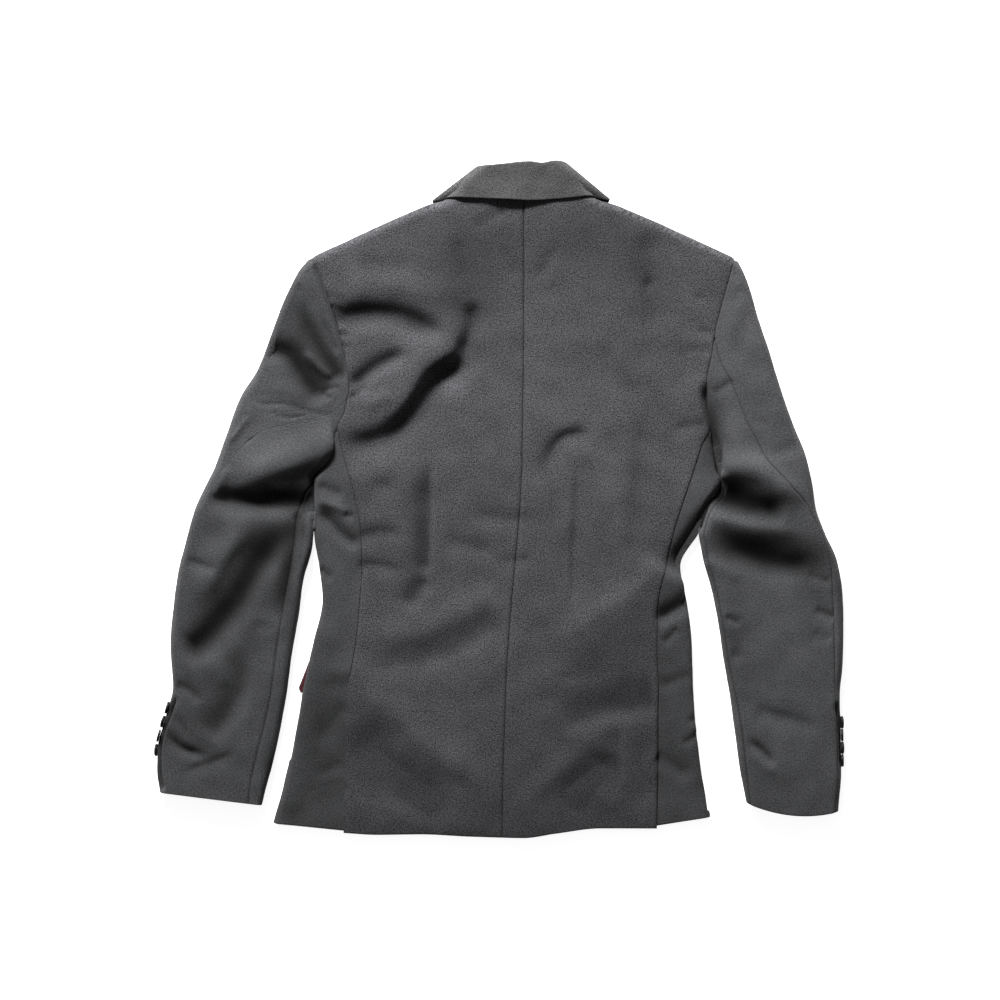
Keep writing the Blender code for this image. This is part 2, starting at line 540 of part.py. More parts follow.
def side_panel(side):
    """Surface of a side panel: its upper leg, the folded edge and its lower leg.

    u runs from the back seam at 0 to the front seam at 1, and below 0 under the back beside the vent."""
    sign = SIDES[side]
    legs = {True: {"seam": side + "_back", "start": ARMHOLE_FOOT - FOOT_DROP[True]},
            False: {"seam": side + "_front", "start": FRONT_FOOT - FOOT_DROP[False]}}

    def seam_reach(upper, y):
        return np.abs(body(legs[upper]["seam"], y) - side_line(side, y)) - SEAM * SIDE_GAP[upper]

    def leg(upper, share, v):
        """Distance from the body's outline and y, at a share of the leg from its seam."""
        start = legs[upper]["start"]
        armhole_y = mix(start, ARMPIT, np.clip((share - SIDE_CORNER) / (1.0 - SIDE_CORNER), 0.0, 1.0))
        armhole = np.abs(outline(side, armhole_y) - side_line(side, armhole_y))
        armhole = mix(seam_reach(upper, armhole_y), armhole, np.clip(share / SIDE_CORNER, 0.0, 1.0))
        hem = SIDE_HEM[side]
        hem_y = mix(hem["back" if upper else "front"], hem["edge"], share)
        first = np.clip(v, 0.0, 1.0)
        below = mix(mix(BLEND, LAST_ROW, np.clip(v - 1.0, 0.0, 1.0)), hem_y, np.clip(v - 2.0, 0.0, 1.0))
        y = np.where(v < 1.0, mix(armhole_y, BLEND, first), below)
        row_y = np.minimum(y, BLEND)
        turn_width = body_round(side, row_y)
        row = arc_plan((1.0 - share) * arc_length(seam_reach(upper, row_y), turn_width), turn_width)
        down_seam = (start - y) / (start - BLEND)
        bend_in = seam_reach(upper, y) - mix(seam_reach(upper, start), seam_reach(upper, BLEND), down_seam)
        upper_part = mix(armhole, row, first) + (1.0 - share) * bend_in
        return np.where(v < 1.0, upper_part, row), y

    def surface(u, v):
        upper = u <= SIDE_EDGE
        share = np.where(upper, u / SIDE_EDGE, (1.0 - u) / (1.0 - SIDE_EDGE))
        over, over_y = leg(True, np.clip(share, 0.0, 1.0), v)
        under, under_y = leg(False, np.clip(share, 0.0, 1.0), v)
        reach, y = np.where(upper, over, under), np.where(upper, over_y, under_y)
        x = side_line(side, y) - sign * (reach + UNDERLAP * np.clip(-u, 0.0, 1.0))
        down = ease((VENT_TOP + VENT_RAMP - y) / (VENT_RAMP - SINK_CLEAR))
        sink = PLY * down * ease((reach - SINK_START) / SINK_RAMP)
        return body_point(side, x, y, upper, sink=sink)
    return surface


def add_side(side, material):
    legs = [SIDE_EDGE * share for share in (0.0, SIDE_CORNER, 0.33, 0.58, 0.80, 0.91)]
    lower = [1.0 - (1.0 - SIDE_EDGE) * share for share in (0.0, SIDE_CORNER, 0.38, 0.68, 0.88)]
    columns = [-1.0, -0.5, *legs, SIDE_EDGE, *lower[::-1]]
    straight_rows = BODY_ROWS[BODY_ROWS.index(BLEND) + 1:]
    straight = [1.0 + (BLEND - y) / (BLEND - LAST_ROW) for y in straight_rows]
    rows = [0.0, 0.25, 0.5, 0.75, 1.0, *straight, 3.0]
    vent_row = 5 + straight_rows.index(VENT_TOP)
    keep = np.ones((len(rows) - 1, len(columns) - 1), dtype=bool)
    keep[:vent_row, :2] = False
    add_wall("side_" + side, material, side_panel(side), columns, rows, -SIDES[side], keep=keep)


# Sleeves.

def sleeve_row(side, v):
    """The named sizes of a sleeve row, at a share of the way down the sleeve."""
    rows = SLEEVES[side]
    knots = np.linspace(0.0, 1.0, len(rows["height"]))
    names = ("outer_y", "inner_y", "hind", "forearm", "height", "sag")
    found = {name: glide(knots, rows[name], v) for name in names}
    sign = SIDES[side]
    found["outer_x"] = outer_edge(side, found["outer_y"])
    widened = ease((found["inner_y"] - HEAD_GAP_FROM) / HEAD_GAP_RAMP)
    found["inner_x"] = inner_edge(side, found["inner_y"]) + sign * SEAM * (0.5 + widened)
    found["forearm"] = found["forearm"] * ease((ARMPIT - found["inner_y"]) / FOREARM_START)
    found["width"] = np.hypot(found["outer_x"] - found["inner_x"], found["outer_y"] - found["inner_y"])
    found["turn"] = np.minimum(ROUND, WIDEST_TURN * found["width"])
    found["length"] = found["width"] + (math.pi - 2.0) * found["turn"]
    return found


def row_length(row, distance):
    """Surface length from the outer edge to a plan distance from it."""
    turn, width = row["turn"], row["width"]
    near = turn * np.arccos(np.clip(1.0 - distance / turn, 0.0, 1.0))
    far = row["length"] - turn * np.arccos(np.clip(1.0 - (width - distance) / turn, 0.0, 1.0))
    middle = distance + (math.pi / 2.0 - 1.0) * turn
    return np.where(distance < turn, near, np.where(distance > width - turn, far, middle))


def sleeve_point(side, row, along):
    """A point of the sleeve's ring. along is 0 at the outer edge, less on the upper layer and more on
    the lower one, and past the row's length it is on the upper layer again, round the inner edge."""
    sign = SIDES[side]
    turn, width, length = row["turn"], row["width"], row["length"]
    upper = (along < 0.0) | (along > length + 1e-6)
    folded = np.where(along > length, 2.0 * length - along, np.abs(along))
    near = turn * (1.0 - np.cos(np.clip(folded / turn, 0.0, math.pi / 2.0)))
    far = turn * (1.0 - np.cos(np.clip((length - folded) / turn, 0.0, math.pi / 2.0)))
    level = np.clip(folded - turn * math.pi / 2.0, 0.0, width - 2.0 * turn)
    share = np.clip((near + level + turn - far) / width, 0.0, 1.0)
    x = mix(row["outer_x"], row["inner_x"], share)
    y = mix(row["outer_y"], row["inner_y"], share) - 4.0 * row["sag"] * share * (1.0 - share)
    full = fullness(side, x, y, lambda at: inner_edge(side, at) + sign * SEAM / 2.0, ROUND)
    shoulder = body("side", np.maximum(y, ARMPIT))
    at_body = mix(shoulder, row["height"], ease((ARMPIT - y) / SLEEVE_RAMP))
    height = mix(at_body, row["height"], ease((1.0 - share) / SLEEVE_SLOPE))
    return np.stack((x, y, layer_height(upper, height, 0.0, full)), axis=-1)


def sleeve_rows(side):
    """Shares down the sleeve of the rows that start on the armhole's own rows."""
    shares = np.linspace(0.0, 1.0, SHARES)
    inner_y = sleeve_row(side, shares)["inner_y"]
    wanted = (min(shoulder_rows(side)), *ARMHOLE_ROWS, *LOWER_SLEEVE_ROWS)
    return [0.0] + [float(np.interp(-y, -inner_y, shares)) for y in wanted] + [1.0]


OUTER_SHARE = 0.3     # where the outer edge lies across the top sleeve


def top_sleeve_surface(side):
    """From the hind-arm seam over the outer edge, the whole lower layer, to the forearm seam."""
    def surface(u, v):
        row = sleeve_row(side, v)
        sewn = ease(row["hind"] * row["width"] / HIND_START)
        start = -row_length(row, (1.0 - row["hind"]) * row["width"]) + sewn * SEAM / 2.0
        strip = row["length"] - row_length(row, row["width"] * (1.0 - row["forearm"]))
        end = row["length"] + np.maximum(strip - SEAM / 2.0, 0.0)
        over, under = mix(start, 0.0, u / OUTER_SHARE), mix(0.0, end, (u - OUTER_SHARE) / (1.0 - OUTER_SHARE))
        return sleeve_point(side, row, np.where(u < OUTER_SHARE, over, under))
    return surface


def under_sleeve_surface(side):
    """From the armhole and the forearm seam to the hind-arm seam, on the upper layer."""
    def surface(u, v):
        row = sleeve_row(side, v)
        strip = row["length"] - row_length(row, row["width"] * (1.0 - row["forearm"]))
        opened = ease((UNDERARM - row["inner_y"]) / UNDERARM_RAMP) * ease(row["inner_y"] / UNDERARM_RAMP)
        start = -row["length"] + strip + SEAM * (1.0 + UNDERARM_GAP * opened)
        end = -row_length(row, (1.0 - row["hind"]) * row["width"]) - HIND_GAP * SEAM
        return sleeve_point(side, row, mix(start, end, u))
    return surface


def add_sleeve(side, material):
    rows = sleeve_rows(side)
    over = [OUTER_SHARE * share for share in (0.0, 0.3, 0.6, 0.88, 0.95)]
    under = [mix(OUTER_SHARE, 1.0, share) for share in (0.0, 0.05, 0.1, 0.35, 0.65, 0.85, 0.91, 0.955, 1.0)]
    across = over + under
    add_wall("top_sleeve_" + side, material, top_sleeve_surface(side), across, rows, -SIDES[side])
    open_rows = []
    for share in rows:
        row = sleeve_row(side, np.array(share))
        if row["hind"] * row["width"] > UNDER_ROW:
            open_rows.append(share)
    shares = np.linspace(0.0, 1.0, SHARES)
    widths = sleeve_row(side, shares)
    first = float(shares[np.argmax(widths["hind"] * widths["width"] > UNDER_TIP)])
    add_wall("under_sleeve_" + side, material, under_sleeve_surface(side),
             (0.0, 0.06, 0.2, 0.45, 0.7, 0.9, 1.0), [first] + open_rows, -SIDES[side])


# Collar.

def neck_ring(roll, foot, reach, direction):
    """Plan and fold of a ring round the neck, between its roll line and its foot.

    Its place runs from -1 at the left front's end to 0 at the side of the neck, 1 where the back layer
    is flat, 2 where it turns down again, 3 at the right side of the neck and 4 at the other end."""
    left_0, left_1 = np.array((roll["x"][0], roll["y"][0])), np.array((foot["x"][0], foot["y"][0]))
    right_0, right_1 = np.array((roll["x"][-1], roll["y"][-1])), np.array((foot["x"][-1], foot["y"][-1]))
    left_line, right_line = left_1 - left_0, right_1 - right_0
    left_in = np.array((-left_line[1], left_line[0])) / np.linalg.norm(left_line)
    right_in = np.array((right_line[1], -right_line[0])) / np.linalg.norm(right_line)

    def place(step, down):
        left_x, right_x = mix(left_0[0], left_1[0], down), mix(right_0[0], right_1[0], down)
        width = right_x - left_x
        left_turn, right_turn = ROUND / abs(left_in[0]), ROUND / abs(right_in[0])
        length = width - left_turn - right_turn + math.pi * ROUND
        turned = ROUND * math.pi / 2.0
        side_reach = reach + (math.pi / 2.0 - 1.0) * ROUND
        along = side_reach * np.minimum(step, 0.0) + turned * np.clip(step, 0.0, 1.0)
        along = along + (length - 2.0 * turned) * np.clip(step - 1.0, 0.0, 1.0)
        along = along + turned * np.clip(step - 2.0, 0.0, 1.0) + side_reach * np.maximum(step - 3.0, 0.0)
        upper = (along > 0.0) & (along < length)
        near = (1.0 - np.cos(np.clip(along / ROUND, 0.0, math.pi / 2.0))) * left_turn
        far = (1.0 - np.cos(np.clip((length - along) / ROUND, 0.0, math.pi / 2.0))) * right_turn
        level = np.clip(along - turned, 0.0, width - left_turn - right_turn)
        share = np.clip((near + level + right_turn - far) / width, 0.0, 1.0)
        roll_x, foot_x = mix(left_0[0], right_0[0], share), mix(left_1[0], right_1[0], share)
        x = mix(roll_x, foot_x, down)
        y = mix(glide(roll["x"], roll["y"], roll_x), glide(foot["x"], foot["y"], foot_x), down)
        past_left = arc_plan(np.maximum(-along, 0.0), ROUND)
        past_right = arc_plan(np.maximum(along - length, 0.0), ROUND)
        x = x + direction[0] * past_left - direction[0] * past_right
        y = y + direction[1] * (past_left + past_right)
        left_gap = (x - left_0[0]) * left_in[0] + (y - left_0[1]) * left_in[1]
        right_gap = (x - right_0[0]) * right_in[0] + (y - right_0[1]) * right_in[1]
        gap = np.where(along < length / 2.0, left_gap, right_gap)
        return x, y, upper, bow(np.maximum(gap, 0.0), ROUND)
    return place


FRONT_WAY = np.array((0.48, -0.88))   # plan direction of the collar's front ends, on the left


def stand_surface(u, v):
    place = neck_ring(STAND_ROLL, NECK_SEAM, STAND_REACH, FRONT_WAY)
    x, y, upper, full = place(u, v)
    height = body_height("left", x, y)
    return np.stack((x, y, layer_height(upper, height, REST_LIFT, full)), axis=-1)


def fall_surface(u, v):
    """The inner face of the collar leaf, a seam's width off the stand and the back."""
    place = neck_ring(ROLL, LEAF, FALL_REACH, FRONT_WAY)
    x, y, upper, full = place(u, v)
    height = body_height("left", x, y) + SEAM
    middle = EDGE_SHARE * height + (1.0 - EDGE_SHARE) * REST_LIFT
    z = np.where(upper, middle + (height - middle) * full, middle - (middle - CLOTH) * full)
    return np.stack((x, y, z), axis=-1)


def fall_profile():
    """Section of the leaf: (share down the leaf, way out past the roll line, way out from the stand)."""
    outer = [(1.0, 0.0, CLOTH), (0.62, 0.0, CLOTH), (0.28, 0.0, CLOTH), (0.0, 0.0, CLOTH)]
    turn = [(0.0, 1.2, 1.72), (0.0, 1.9, 0.9), (0.0, 2.1, -PLY)]
    inner = [(0.0, 0.1, -PLY), (0.0, 0.1, 0.0), (0.28, 0.0, 0.0), (0.62, 0.0, 0.0), (1.0, 0.0, 0.0)]
    return np.array(outer + turn + inner)


COLLAR_STEPS = (-1.0, -0.65, -0.35, -0.15, 0.0, 0.25, 0.5, 0.75, 1.0, 1.17, 1.33, 1.5, 1.67, 1.83, 2.0,
                2.25, 2.5, 2.75, 3.0, 3.15, 3.35, 3.65, 4.0)


def add_fall(material):
    """The leaf's section, swept round the neck on the normal of its inner face."""
    profile = fall_profile()
    along, part = np.meshgrid(np.array(COLLAR_STEPS), np.arange(len(profile)), indexing="ij")
    down, out, off = (profile[part, column] for column in range(3))
    step = 1e-4
    base = fall_surface(along, down)
    after, before = np.minimum(along + step, COLLAR_STEPS[-1]), np.maximum(along - step, COLLAR_STEPS[0])
    across = fall_surface(after, down) - fall_surface(before, down)
    below, above = np.minimum(down + step, 1.0), np.maximum(down - step, 0.0)
    fall = fall_surface(along, below) - fall_surface(along, above)
    normal = np.cross(fall, across)
    normal /= np.linalg.norm(normal, axis=-1, keepdims=True)
    upward = fall / np.linalg.norm(fall, axis=-1, keepdims=True)
    points = base + normal * off[..., None] - upward * out[..., None]
    stations, corners = along.shape
    faces = []
    for station in range(stations - 1):
        for corner in range(corners):
            following = (corner + 1) % corners
            faces.append((station * corners + corner, station * corners + following,
                          (station + 1) * corners + following, (station + 1) * corners + corner))
    faces += end_caps(stations, corners)
    add_piece("collar_fall", points.reshape(-1, 3), faces, material)


def end_caps(stations, corners):
    """Both ends of the swept leaf, as quads between its outer and inner points."""
    caps = []
    for station, reverse in ((0, False), (stations - 1, True)):
        first = station * corners
        pairs = [(0, 11), (1, 10), (2, 9), (3, 8)]
        cells = [(a, c, d, b) for (a, b), (c, d) in zip(pairs[:-1], pairs[1:])]
        cells += [(3, 4, 5, 8), (5, 6, 7, 8)]
        for cell in cells:
            cell = tuple(first + corner for corner in cell)
            caps.append(cell if reverse else cell[::-1])
    return caps


def add_stand(material):
    add_wall("collar_stand", material, stand_surface, COLLAR_STEPS, (0.0, 0.5, 1.0), -1.0)


# Lapels, flaps and buttons.

def add_lapel(side, material):
    """The turned-back front above the top button, under its front."""
    def surface(u, v):
        y = mix(LAPEL_TOP, LAPEL_END[side], v)
        outer, roll = lapel_edges(side, y)
        skew = LAPEL_PEAK * (1.0 - ease(v / LAPEL_NOTCH)) - LAPEL_DROP * ease(v)
        return np.stack((mix(roll, outer, u), y + u * skew, LAPEL_RISE * (1.0 - u)), axis=-1)
    across, down = (0.0, 0.35, 0.7, 1.0), (0.0, 0.07, 0.13, 0.3, 0.5, 0.7, 0.86, 1.0)
    add_wall("lapel_" + side, material, surface, across, down, SIDES[side])


def add_slab(name, material, corners, low, high):
    """A flat piece of cloth between two heights."""
    corners = np.array(corners)
    count = len(corners)
    flat = [np.column_stack((corners, np.full(count, level))) for level in (low, high)]
    faces = [tuple(range(count)), tuple(range(2 * count - 1, count - 1, -1))]
    for index in range(count):
        following = (index + 1) % count
        faces.append((count + index, count + following, following, index))
    add_piece(name, np.concatenate(flat), faces, material)


def button_mesh(name, material, sizes):
    """A turned button about +Z, with a rounded rim and a dished face upwards."""
    rim, half = sizes["rim"], sizes["thick"] / 2.0
    radius, flat = sizes["radius"], sizes["radius"] - rim
    section = ((0.0, -half), (flat, -half), (radius, rim - half), (radius, half - rim), (flat, half),
               (sizes["dish"], half), (0.0, half - rim))
    points = [(0.0, 0.0, section[0][1]), (0.0, 0.0, section[-1][1])]
    for radius, level in section[1:-1]:
        for step in range(BUTTON_STEPS):
            turn = 2.0 * math.pi * step / BUTTON_STEPS
            points.append((radius * math.cos(turn), radius * math.sin(turn), level))
    rings = len(section) - 2
    faces = []
    for step in range(BUTTON_STEPS):
        following = (step + 1) % BUTTON_STEPS
        last = 2 + (rings - 1) * BUTTON_STEPS
        faces.append((0, 2 + following, 2 + step))
        faces.append((1, last + step, last + following))
        for ring in range(rings - 1):
            low, high = 2 + ring * BUTTON_STEPS, 2 + (ring + 1) * BUTTON_STEPS
            faces.append((low + step, low + following, high + following, high + step))
    points = np.array(points)
    mesh = bpy.data.meshes.new(name)
    mesh.from_pydata((points * 0.001).tolist(), [], turned_out(points, faces))
    mesh.materials.append(material)
    mesh.shade_smooth()
    mesh.set_sharp_from_angle(angle=math.radians(40.0))
    return mesh


def place_button(name, mesh, middle, axis):
    """One button, its middle in millimetres and its face along the axis."""
    piece = bpy.data.objects.new(name, mesh)
    piece.location = Vector(middle) * 0.001
    piece.rotation_euler = Vector(axis).to_track_quat("Z", "Y").to_euler()
    bpy.context.scene.collection.objects.link(piece)


def add_cuff_buttons(side, mesh):
    """Four touching buttons on edge, along the cuff vent at the outer side of the laid sleeve."""
    sign = SIDES[side]
    rows = sleeve_row(side, np.array(sleeve_rows(side)))

    def edge(at):
        return np.interp(-at, -rows["outer_y"], rows["outer_x"])
    for number, y in enumerate(CUFF_BUTTON_ROWS[side], start=1):
        height = np.interp(-y, -rows["outer_y"], rows["height"])
        slope = float(slope_of(edge, y))
        out = np.array((sign, -sign * slope, 0.0)) / math.hypot(1.0, slope)
        seat = np.array((float(edge(y)), y, EDGE_SHARE * height))
        middle = seat + out * (SEAM / 2.0 + BUTTON_GAP + CUFF_BUTTON["thick"] / 2.0)
        place_button(f"cuff_button_{side}_{number}", mesh, middle, out)


def add_materials():
    made = {}
    for name, finish in MATERIALS.items():
        material = bpy.data.materials.new(name)
        material.use_nodes = True
        shader = material.node_tree.nodes["Principled BSDF"]
        shader.inputs["Base Color"].default_value = (*finish["colour"], 1.0)
        shader.inputs["Roughness"].default_value = finish["roughness"]
        shader.inputs["Metallic"].default_value = 0.0
        made[name] = material
    return made


def main():
    for item in list(bpy.data.objects):
        bpy.data.objects.remove(item, do_unlink=True)
    made = add_materials()
    cloth, horn = made["suiting"], made["horn_black"]
    cuff_mesh = button_mesh("cuff_button", horn, CUFF_BUTTON)
    front_mesh = button_mesh("front_button", horn, FRONT_BUTTON)
    for side in SIDES:
        add_back(side, cloth)
        add_side(side, cloth)
        add_front(side, cloth)
        add_sleeve(side, cloth)
        add_lapel(side, cloth)
        add_cuff_buttons(side, cuff_mesh)
    top = REST_LIFT - SEAM
    add_slab("pocket_flap_right", cloth, FLAPS["right"], top - FLAP_CLOTH, top)
    add_slab("flap_lining_left", made["flap_lining"], FLAPS["left"], top - FLAP_LINING, top)
    under = top - FLAP_LINING - SEAM
    add_slab("pocket_flap_left", cloth, FLAPS["left"], under - FLAP_CLOTH, under)
    add_stand(cloth)
    add_fall(cloth)
    for number, (x, y) in enumerate(FRONT_BUTTON_PLACES, start=1):
        middle = (x, y, FRONT_BUTTON["thick"] / 2.0)
        place_button(f"front_button_{number}", front_mesh, middle, (0.0, 0.0, -1.0))


main()
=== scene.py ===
import math

import bpy
import numpy as np
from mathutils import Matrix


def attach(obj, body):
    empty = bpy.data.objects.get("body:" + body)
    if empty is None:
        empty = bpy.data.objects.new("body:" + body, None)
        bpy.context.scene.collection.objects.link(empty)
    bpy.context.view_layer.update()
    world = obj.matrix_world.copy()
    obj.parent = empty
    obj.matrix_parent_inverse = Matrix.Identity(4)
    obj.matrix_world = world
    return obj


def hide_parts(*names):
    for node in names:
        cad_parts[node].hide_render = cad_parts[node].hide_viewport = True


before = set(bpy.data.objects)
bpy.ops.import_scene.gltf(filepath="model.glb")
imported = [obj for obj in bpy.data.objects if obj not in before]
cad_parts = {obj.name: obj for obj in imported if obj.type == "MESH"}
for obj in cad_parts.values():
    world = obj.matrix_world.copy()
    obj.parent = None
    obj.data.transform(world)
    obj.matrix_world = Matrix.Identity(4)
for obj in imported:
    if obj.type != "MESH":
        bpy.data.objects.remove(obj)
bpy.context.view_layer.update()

MM = 0.001
TURN = 2.0 * math.pi
QUARTER = math.pi / 2.0
CLOTH = 2.0             # thickness of a wall in the solid model
OUTER_CLOTH = 1.5       # thickness of the drawn cloth: the upper panels and the sleeves
FRONT_CLOTH = 1.4
LAPEL_CLOTH = 1.6
FLAP_CLOTH = 1.3
FLAP_LINING = 1.0
SEAM = 0.05             # clear width between two sewn edges
CENTRE_SEAM = -0.04     # the same at the centre back seam, whose edges just touch
GAP = 0.4               # clear height between two pieces that lie on each other
PLY = CLOTH + GAP
GROOVE = 0.9            # depth to which a sewn edge is drawn in
LOW_GROOVE = 0.5        # the same between the fronts and the side panels
GROOVE_WIDTH = 1.5      # distance from the edge over which the groove falls off
SOFT_GROOVE = 0.12      # the same depth for the left sleeve's seams, which hardly show
RIM = 1.0               # width of a rim's rounding
RIM_ROUND = 0.42        # how far the rim is rounded off, as a share of the cloth's thickness
SOFT_RIM = 0.1
ROUND = 8.0             # widest rounding of a folded edge, seen from above
SHOULDER_ROUND = 10.0
LEAST_ROUND = 3.6       # narrowest rounding of the body's edge, where the laid body is thin
THIN = 2.6              # squared half height over width of the rounding there
EDGE_SHARE = 0.45       # height of a folded edge, as a share of the height beside it
ROOM = 5.5              # least height of the upper layer, which has the lower layer under it
RAMP = 40.0             # width of the slope round the places where the fronts lie on other pieces
REST_LIFT = 3.4         # height of the fronts above the floor there
LAP_RISE = 3.0          # how much higher the right front lies where it is on the left one
LAP_EASE = 20.0         # how far past the left front's edge the right one is still fully raised
TOUCH_END = -37.5       # y where the sleeves leave the body's sides
TUCK = 0.7              # how far the sleeve's edge runs in under the body's where they touch
TOUCH_FADE = 12.0       # length above that y over which the tuck sets in
ARMPIT = 21.5
ARMHOLE_FOOT = 79.0     # y where the back's armhole ends at the side panel
FRONT_FOOT = 60.0       # the same for the front
BLEND = -8.0            # y below which the side panels' rows are level
LAST_ROW = -330.5       # y of the last level row, above the slanting hem
VENT_TOP = -209.5
VENT_RAMP = 24.0        # length over which the side panel goes down under the back at the vent
UNDERLAP = 33.0         # width of the side panel under the back at the vent
SHOULDER_TIP = 267.0    # y where the armhole meets the shoulder line
SHOULDER_INSET = 0.012  # how far the layers' upper edges stay inside the outline
NECK_X = 27.0           # x of the centre back at the neck, and at the hem
HEM_X = 3.5
NECK_TUCK = 2.0         # how far the back runs in under the collar's neck seam
NECK_SHARE = 0.30       # share of the back's upper edge that lies at the neck
BACK_DROP = 4.0         # how far under the armhole's foot the side panel's two legs end
FRONT_DROP = 3.0
SINK_START = 9.0        # distance from the outline where the panel begins to go down at the vent
SINK_RAMP = 25.0
SIDE_EDGE = 0.54        # where the folded edge lies across the side panel
SIDE_CORNER = 0.05      # share of each leg that the panel's top corner takes
OUTER_SHARE = 0.45      # where the outer edge lies across the top sleeve
FOREARM_FADE = 15.0     # length below the armpit over which the forearm seam leaves the edge
SHOULDER_FADE = 90.0    # the same over which the sleeve's height leaves the shoulder's
AT_BODY = 0.6           # share of the sleeve's width in which it has the body's height at the seam
SEWN_WIDTH = 3.0        # strip beyond the hind-arm seam at which that seam is fully open
LEAST_STRIP = 1.6       # the same at which the under sleeve starts
SLEEVE_LENGTH = 640.0
HALF_BACK = 220.0       # greatest width of a back and of a front, for the number of their columns
HALF_FRONT = 215.0
ROW = 2.5               # spacing of the rows and columns of the fine grids
COARSE = 4.5            # the same for the hidden fronts
STAND_REACH = 27.0      # how far the stand runs on past the sides of the neck
FALL_REACH = 42.0       # the same for the leaf
LEAF_PLY = 2.2          # radius of the leaf's roll line
LEAF_OUT = 1.9          # height of the leaf's outer face over its inner one
LEAF_DROP = 40.0        # depth of the leaf
EDGE_ROUND = 1.2        # width of its free edge's rounding
SPRINGS = ((2.6, 14.0, 62.0), (1.6, 10.0, 17.0))   # how far the leaf stands off the back: height, x, reach
SNUG_REACH = 80.0       # length at the leaf's ends over which it comes down onto the back
SNUG_CLEAR = 0.3        # clear height that it keeps there
FOLD_REACH = 3.2        # how many of its widths a fold reaches to each side
WAVE_SUM = 4.0          # height to which the waves of the broad unevenness add up
FACING = 1.5            # full relief from where the normal's upward part is 1 / FACING
HOLLOW_SHADE = 0.66     # painted shade: how much darker the cloth is drawn at the foot of a deep fold, which sees little light
HOLLOW_DEPTH = 12.0     # depth at which that shade is full
SEAM_SHADE = 0.3        # painted shade: how much darker the cloth is drawn in the groove of a seam, where little light reaches
TWILL = 0.0011          # metres from one twill line to the next
LENGTH = 0.74           # metres from the hem to the collar
PALE = 2.17             # shade of the palest fibres over the cloth's own
HOLE_PLACE, HOLE_RADIUS, HOLE_DEPTH = 2.1, 0.8, 1.0   # of a button's thread holes
FRONT_BUTTON = {"radius": 10.0, "thick": 3.0, "rim": 0.9, "dish": 6.6}
CUFF_BUTTON = {"radius": 6.9, "thick": 2.6, "rim": 0.8, "dish": 4.5}
CUFF_BUTTON_ROWS = {"left": (-229.0, -244.5, -260.0, -275.5), "right": (-245.0, -259.0, -273.0, -287.0)}
FRONT_BUTTON_PLACES = ((23.0, 18.5), (13.0, -99.5))
SIDES = {"left": -1.0, "right": 1.0}


def table(columns, rows):
    """A table as one array for each named column."""
    return dict(zip(columns.split(), np.array(rows, dtype=float).T))


# Body sections from the neck down. Above the armhole's foot the edge and both seams are the armhole.
BODY = table("y left_edge left_back left_front centre right_front right_back right_edge side mid", (
    (340.0, -205.5, -205.5, -205.5, 27.0, 259.0, 259.0, 259.0, 23.0, 28.0),
    (267.0, -205.5, -205.5, -205.5, 27.0, 259.0, 259.0, 259.0, 21.0, 26.0),
    (246.0, -198.5, -198.5, -198.5, 27.0, 254.0, 254.0, 254.0, 21.0, 25.5),
    (215.5, -187.0, -187.0, -187.0, 27.0, 245.5, 245.5, 245.5, 20.5, 24.5),
    (183.5, -177.0, -177.0, -177.0, 27.0, 237.5, 237.5, 237.5, 20.5, 24.0),
    (158.0, -171.0, -171.0, -171.0, 27.0, 233.5, 233.5, 233.5, 20.0, 23.0),
    (126.0, -166.0, -166.0, -166.0, 26.5, 228.0, 228.0, 228.0, 19.5, 22.0),
    (98.5, -169.5, -169.5, -169.5, 26.0, 229.5, 229.5, 229.5, 19.0, 21.5),
    (79.0, -178.0, -178.0, -178.0, 26.0, 233.0, 233.0, 233.0, 18.5, 21.0),
    (60.0, -185.5, -174.5, -185.5, 25.5, 238.5, 223.5, 238.5, 17.5, 20.5),
    (41.5, -191.0, -169.5, -176.5, 25.5, 229.5, 217.5, 241.5, 17.0, 20.0),
    (21.5, -205.0, -164.0, -166.5, 24.5, 213.5, 211.0, 244.0, 16.5, 19.0),
    (-8.0, -204.5, -157.0, -160.0, 23.0, 197.0, 201.0, 230.5, 15.0, 18.0),
    (-37.5, -204.0, -152.5, -157.5, 20.5, 183.0, 192.0, 219.0, 14.0, 17.0),
    (-73.0, -198.5, -151.5, -154.5, 17.5, 171.5, 184.0, 199.5, 13.0, 16.0),
    (-111.5, -195.0, -154.0, -151.0, 14.0, 166.5, 175.5, 206.5, 12.5, 15.0),
    (-154.5, -204.5, -158.0, -157.5, 10.5, 167.5, 174.0, 212.0, 12.5, 14.5),
    (-209.5, -216.0, -166.5, -166.5, 7.5, 171.5, 175.0, 214.0, 12.5, 13.5),
    (-242.5, -222.0, -168.0, -172.0, 6.5, 172.5, 174.5, 216.0, 11.5, 12.5),
    (-286.5, -230.0, -170.0, -179.5, 5.0, 175.5, 174.5, 221.0, 9.5, 10.2),
    (-330.5, -240.0, -171.0, -188.5, 4.0, 181.0, 174.0, 228.0, 7.5, 8.0),
    (-369.0, -251.0, -171.5, -197.0, 3.5, 185.5, 173.5, 234.0, 7.2, 7.6)))

# Upper outline of the body: shoulder lines and the sides of the neck.
TOP_EDGE = table("x y", (
    (-300.0, 222.0), (-219.0, 261.0), (-204.0, 268.0), (-120.0, 306.5), (-74.0, 325.5), (-65.0, 327.5),
    (-46.5, 338.5), (-36.5, 350.0), (-20.0, 372.0), (0.0, 398.0), (48.0, 398.0), (68.0, 378.0),
    (85.5, 351.0), (94.5, 339.0), (113.0, 328.0), (122.0, 326.0), (164.5, 309.0), (216.5, 285.5),
    (259.0, 266.0), (273.5, 259.0), (350.0, 222.0)))

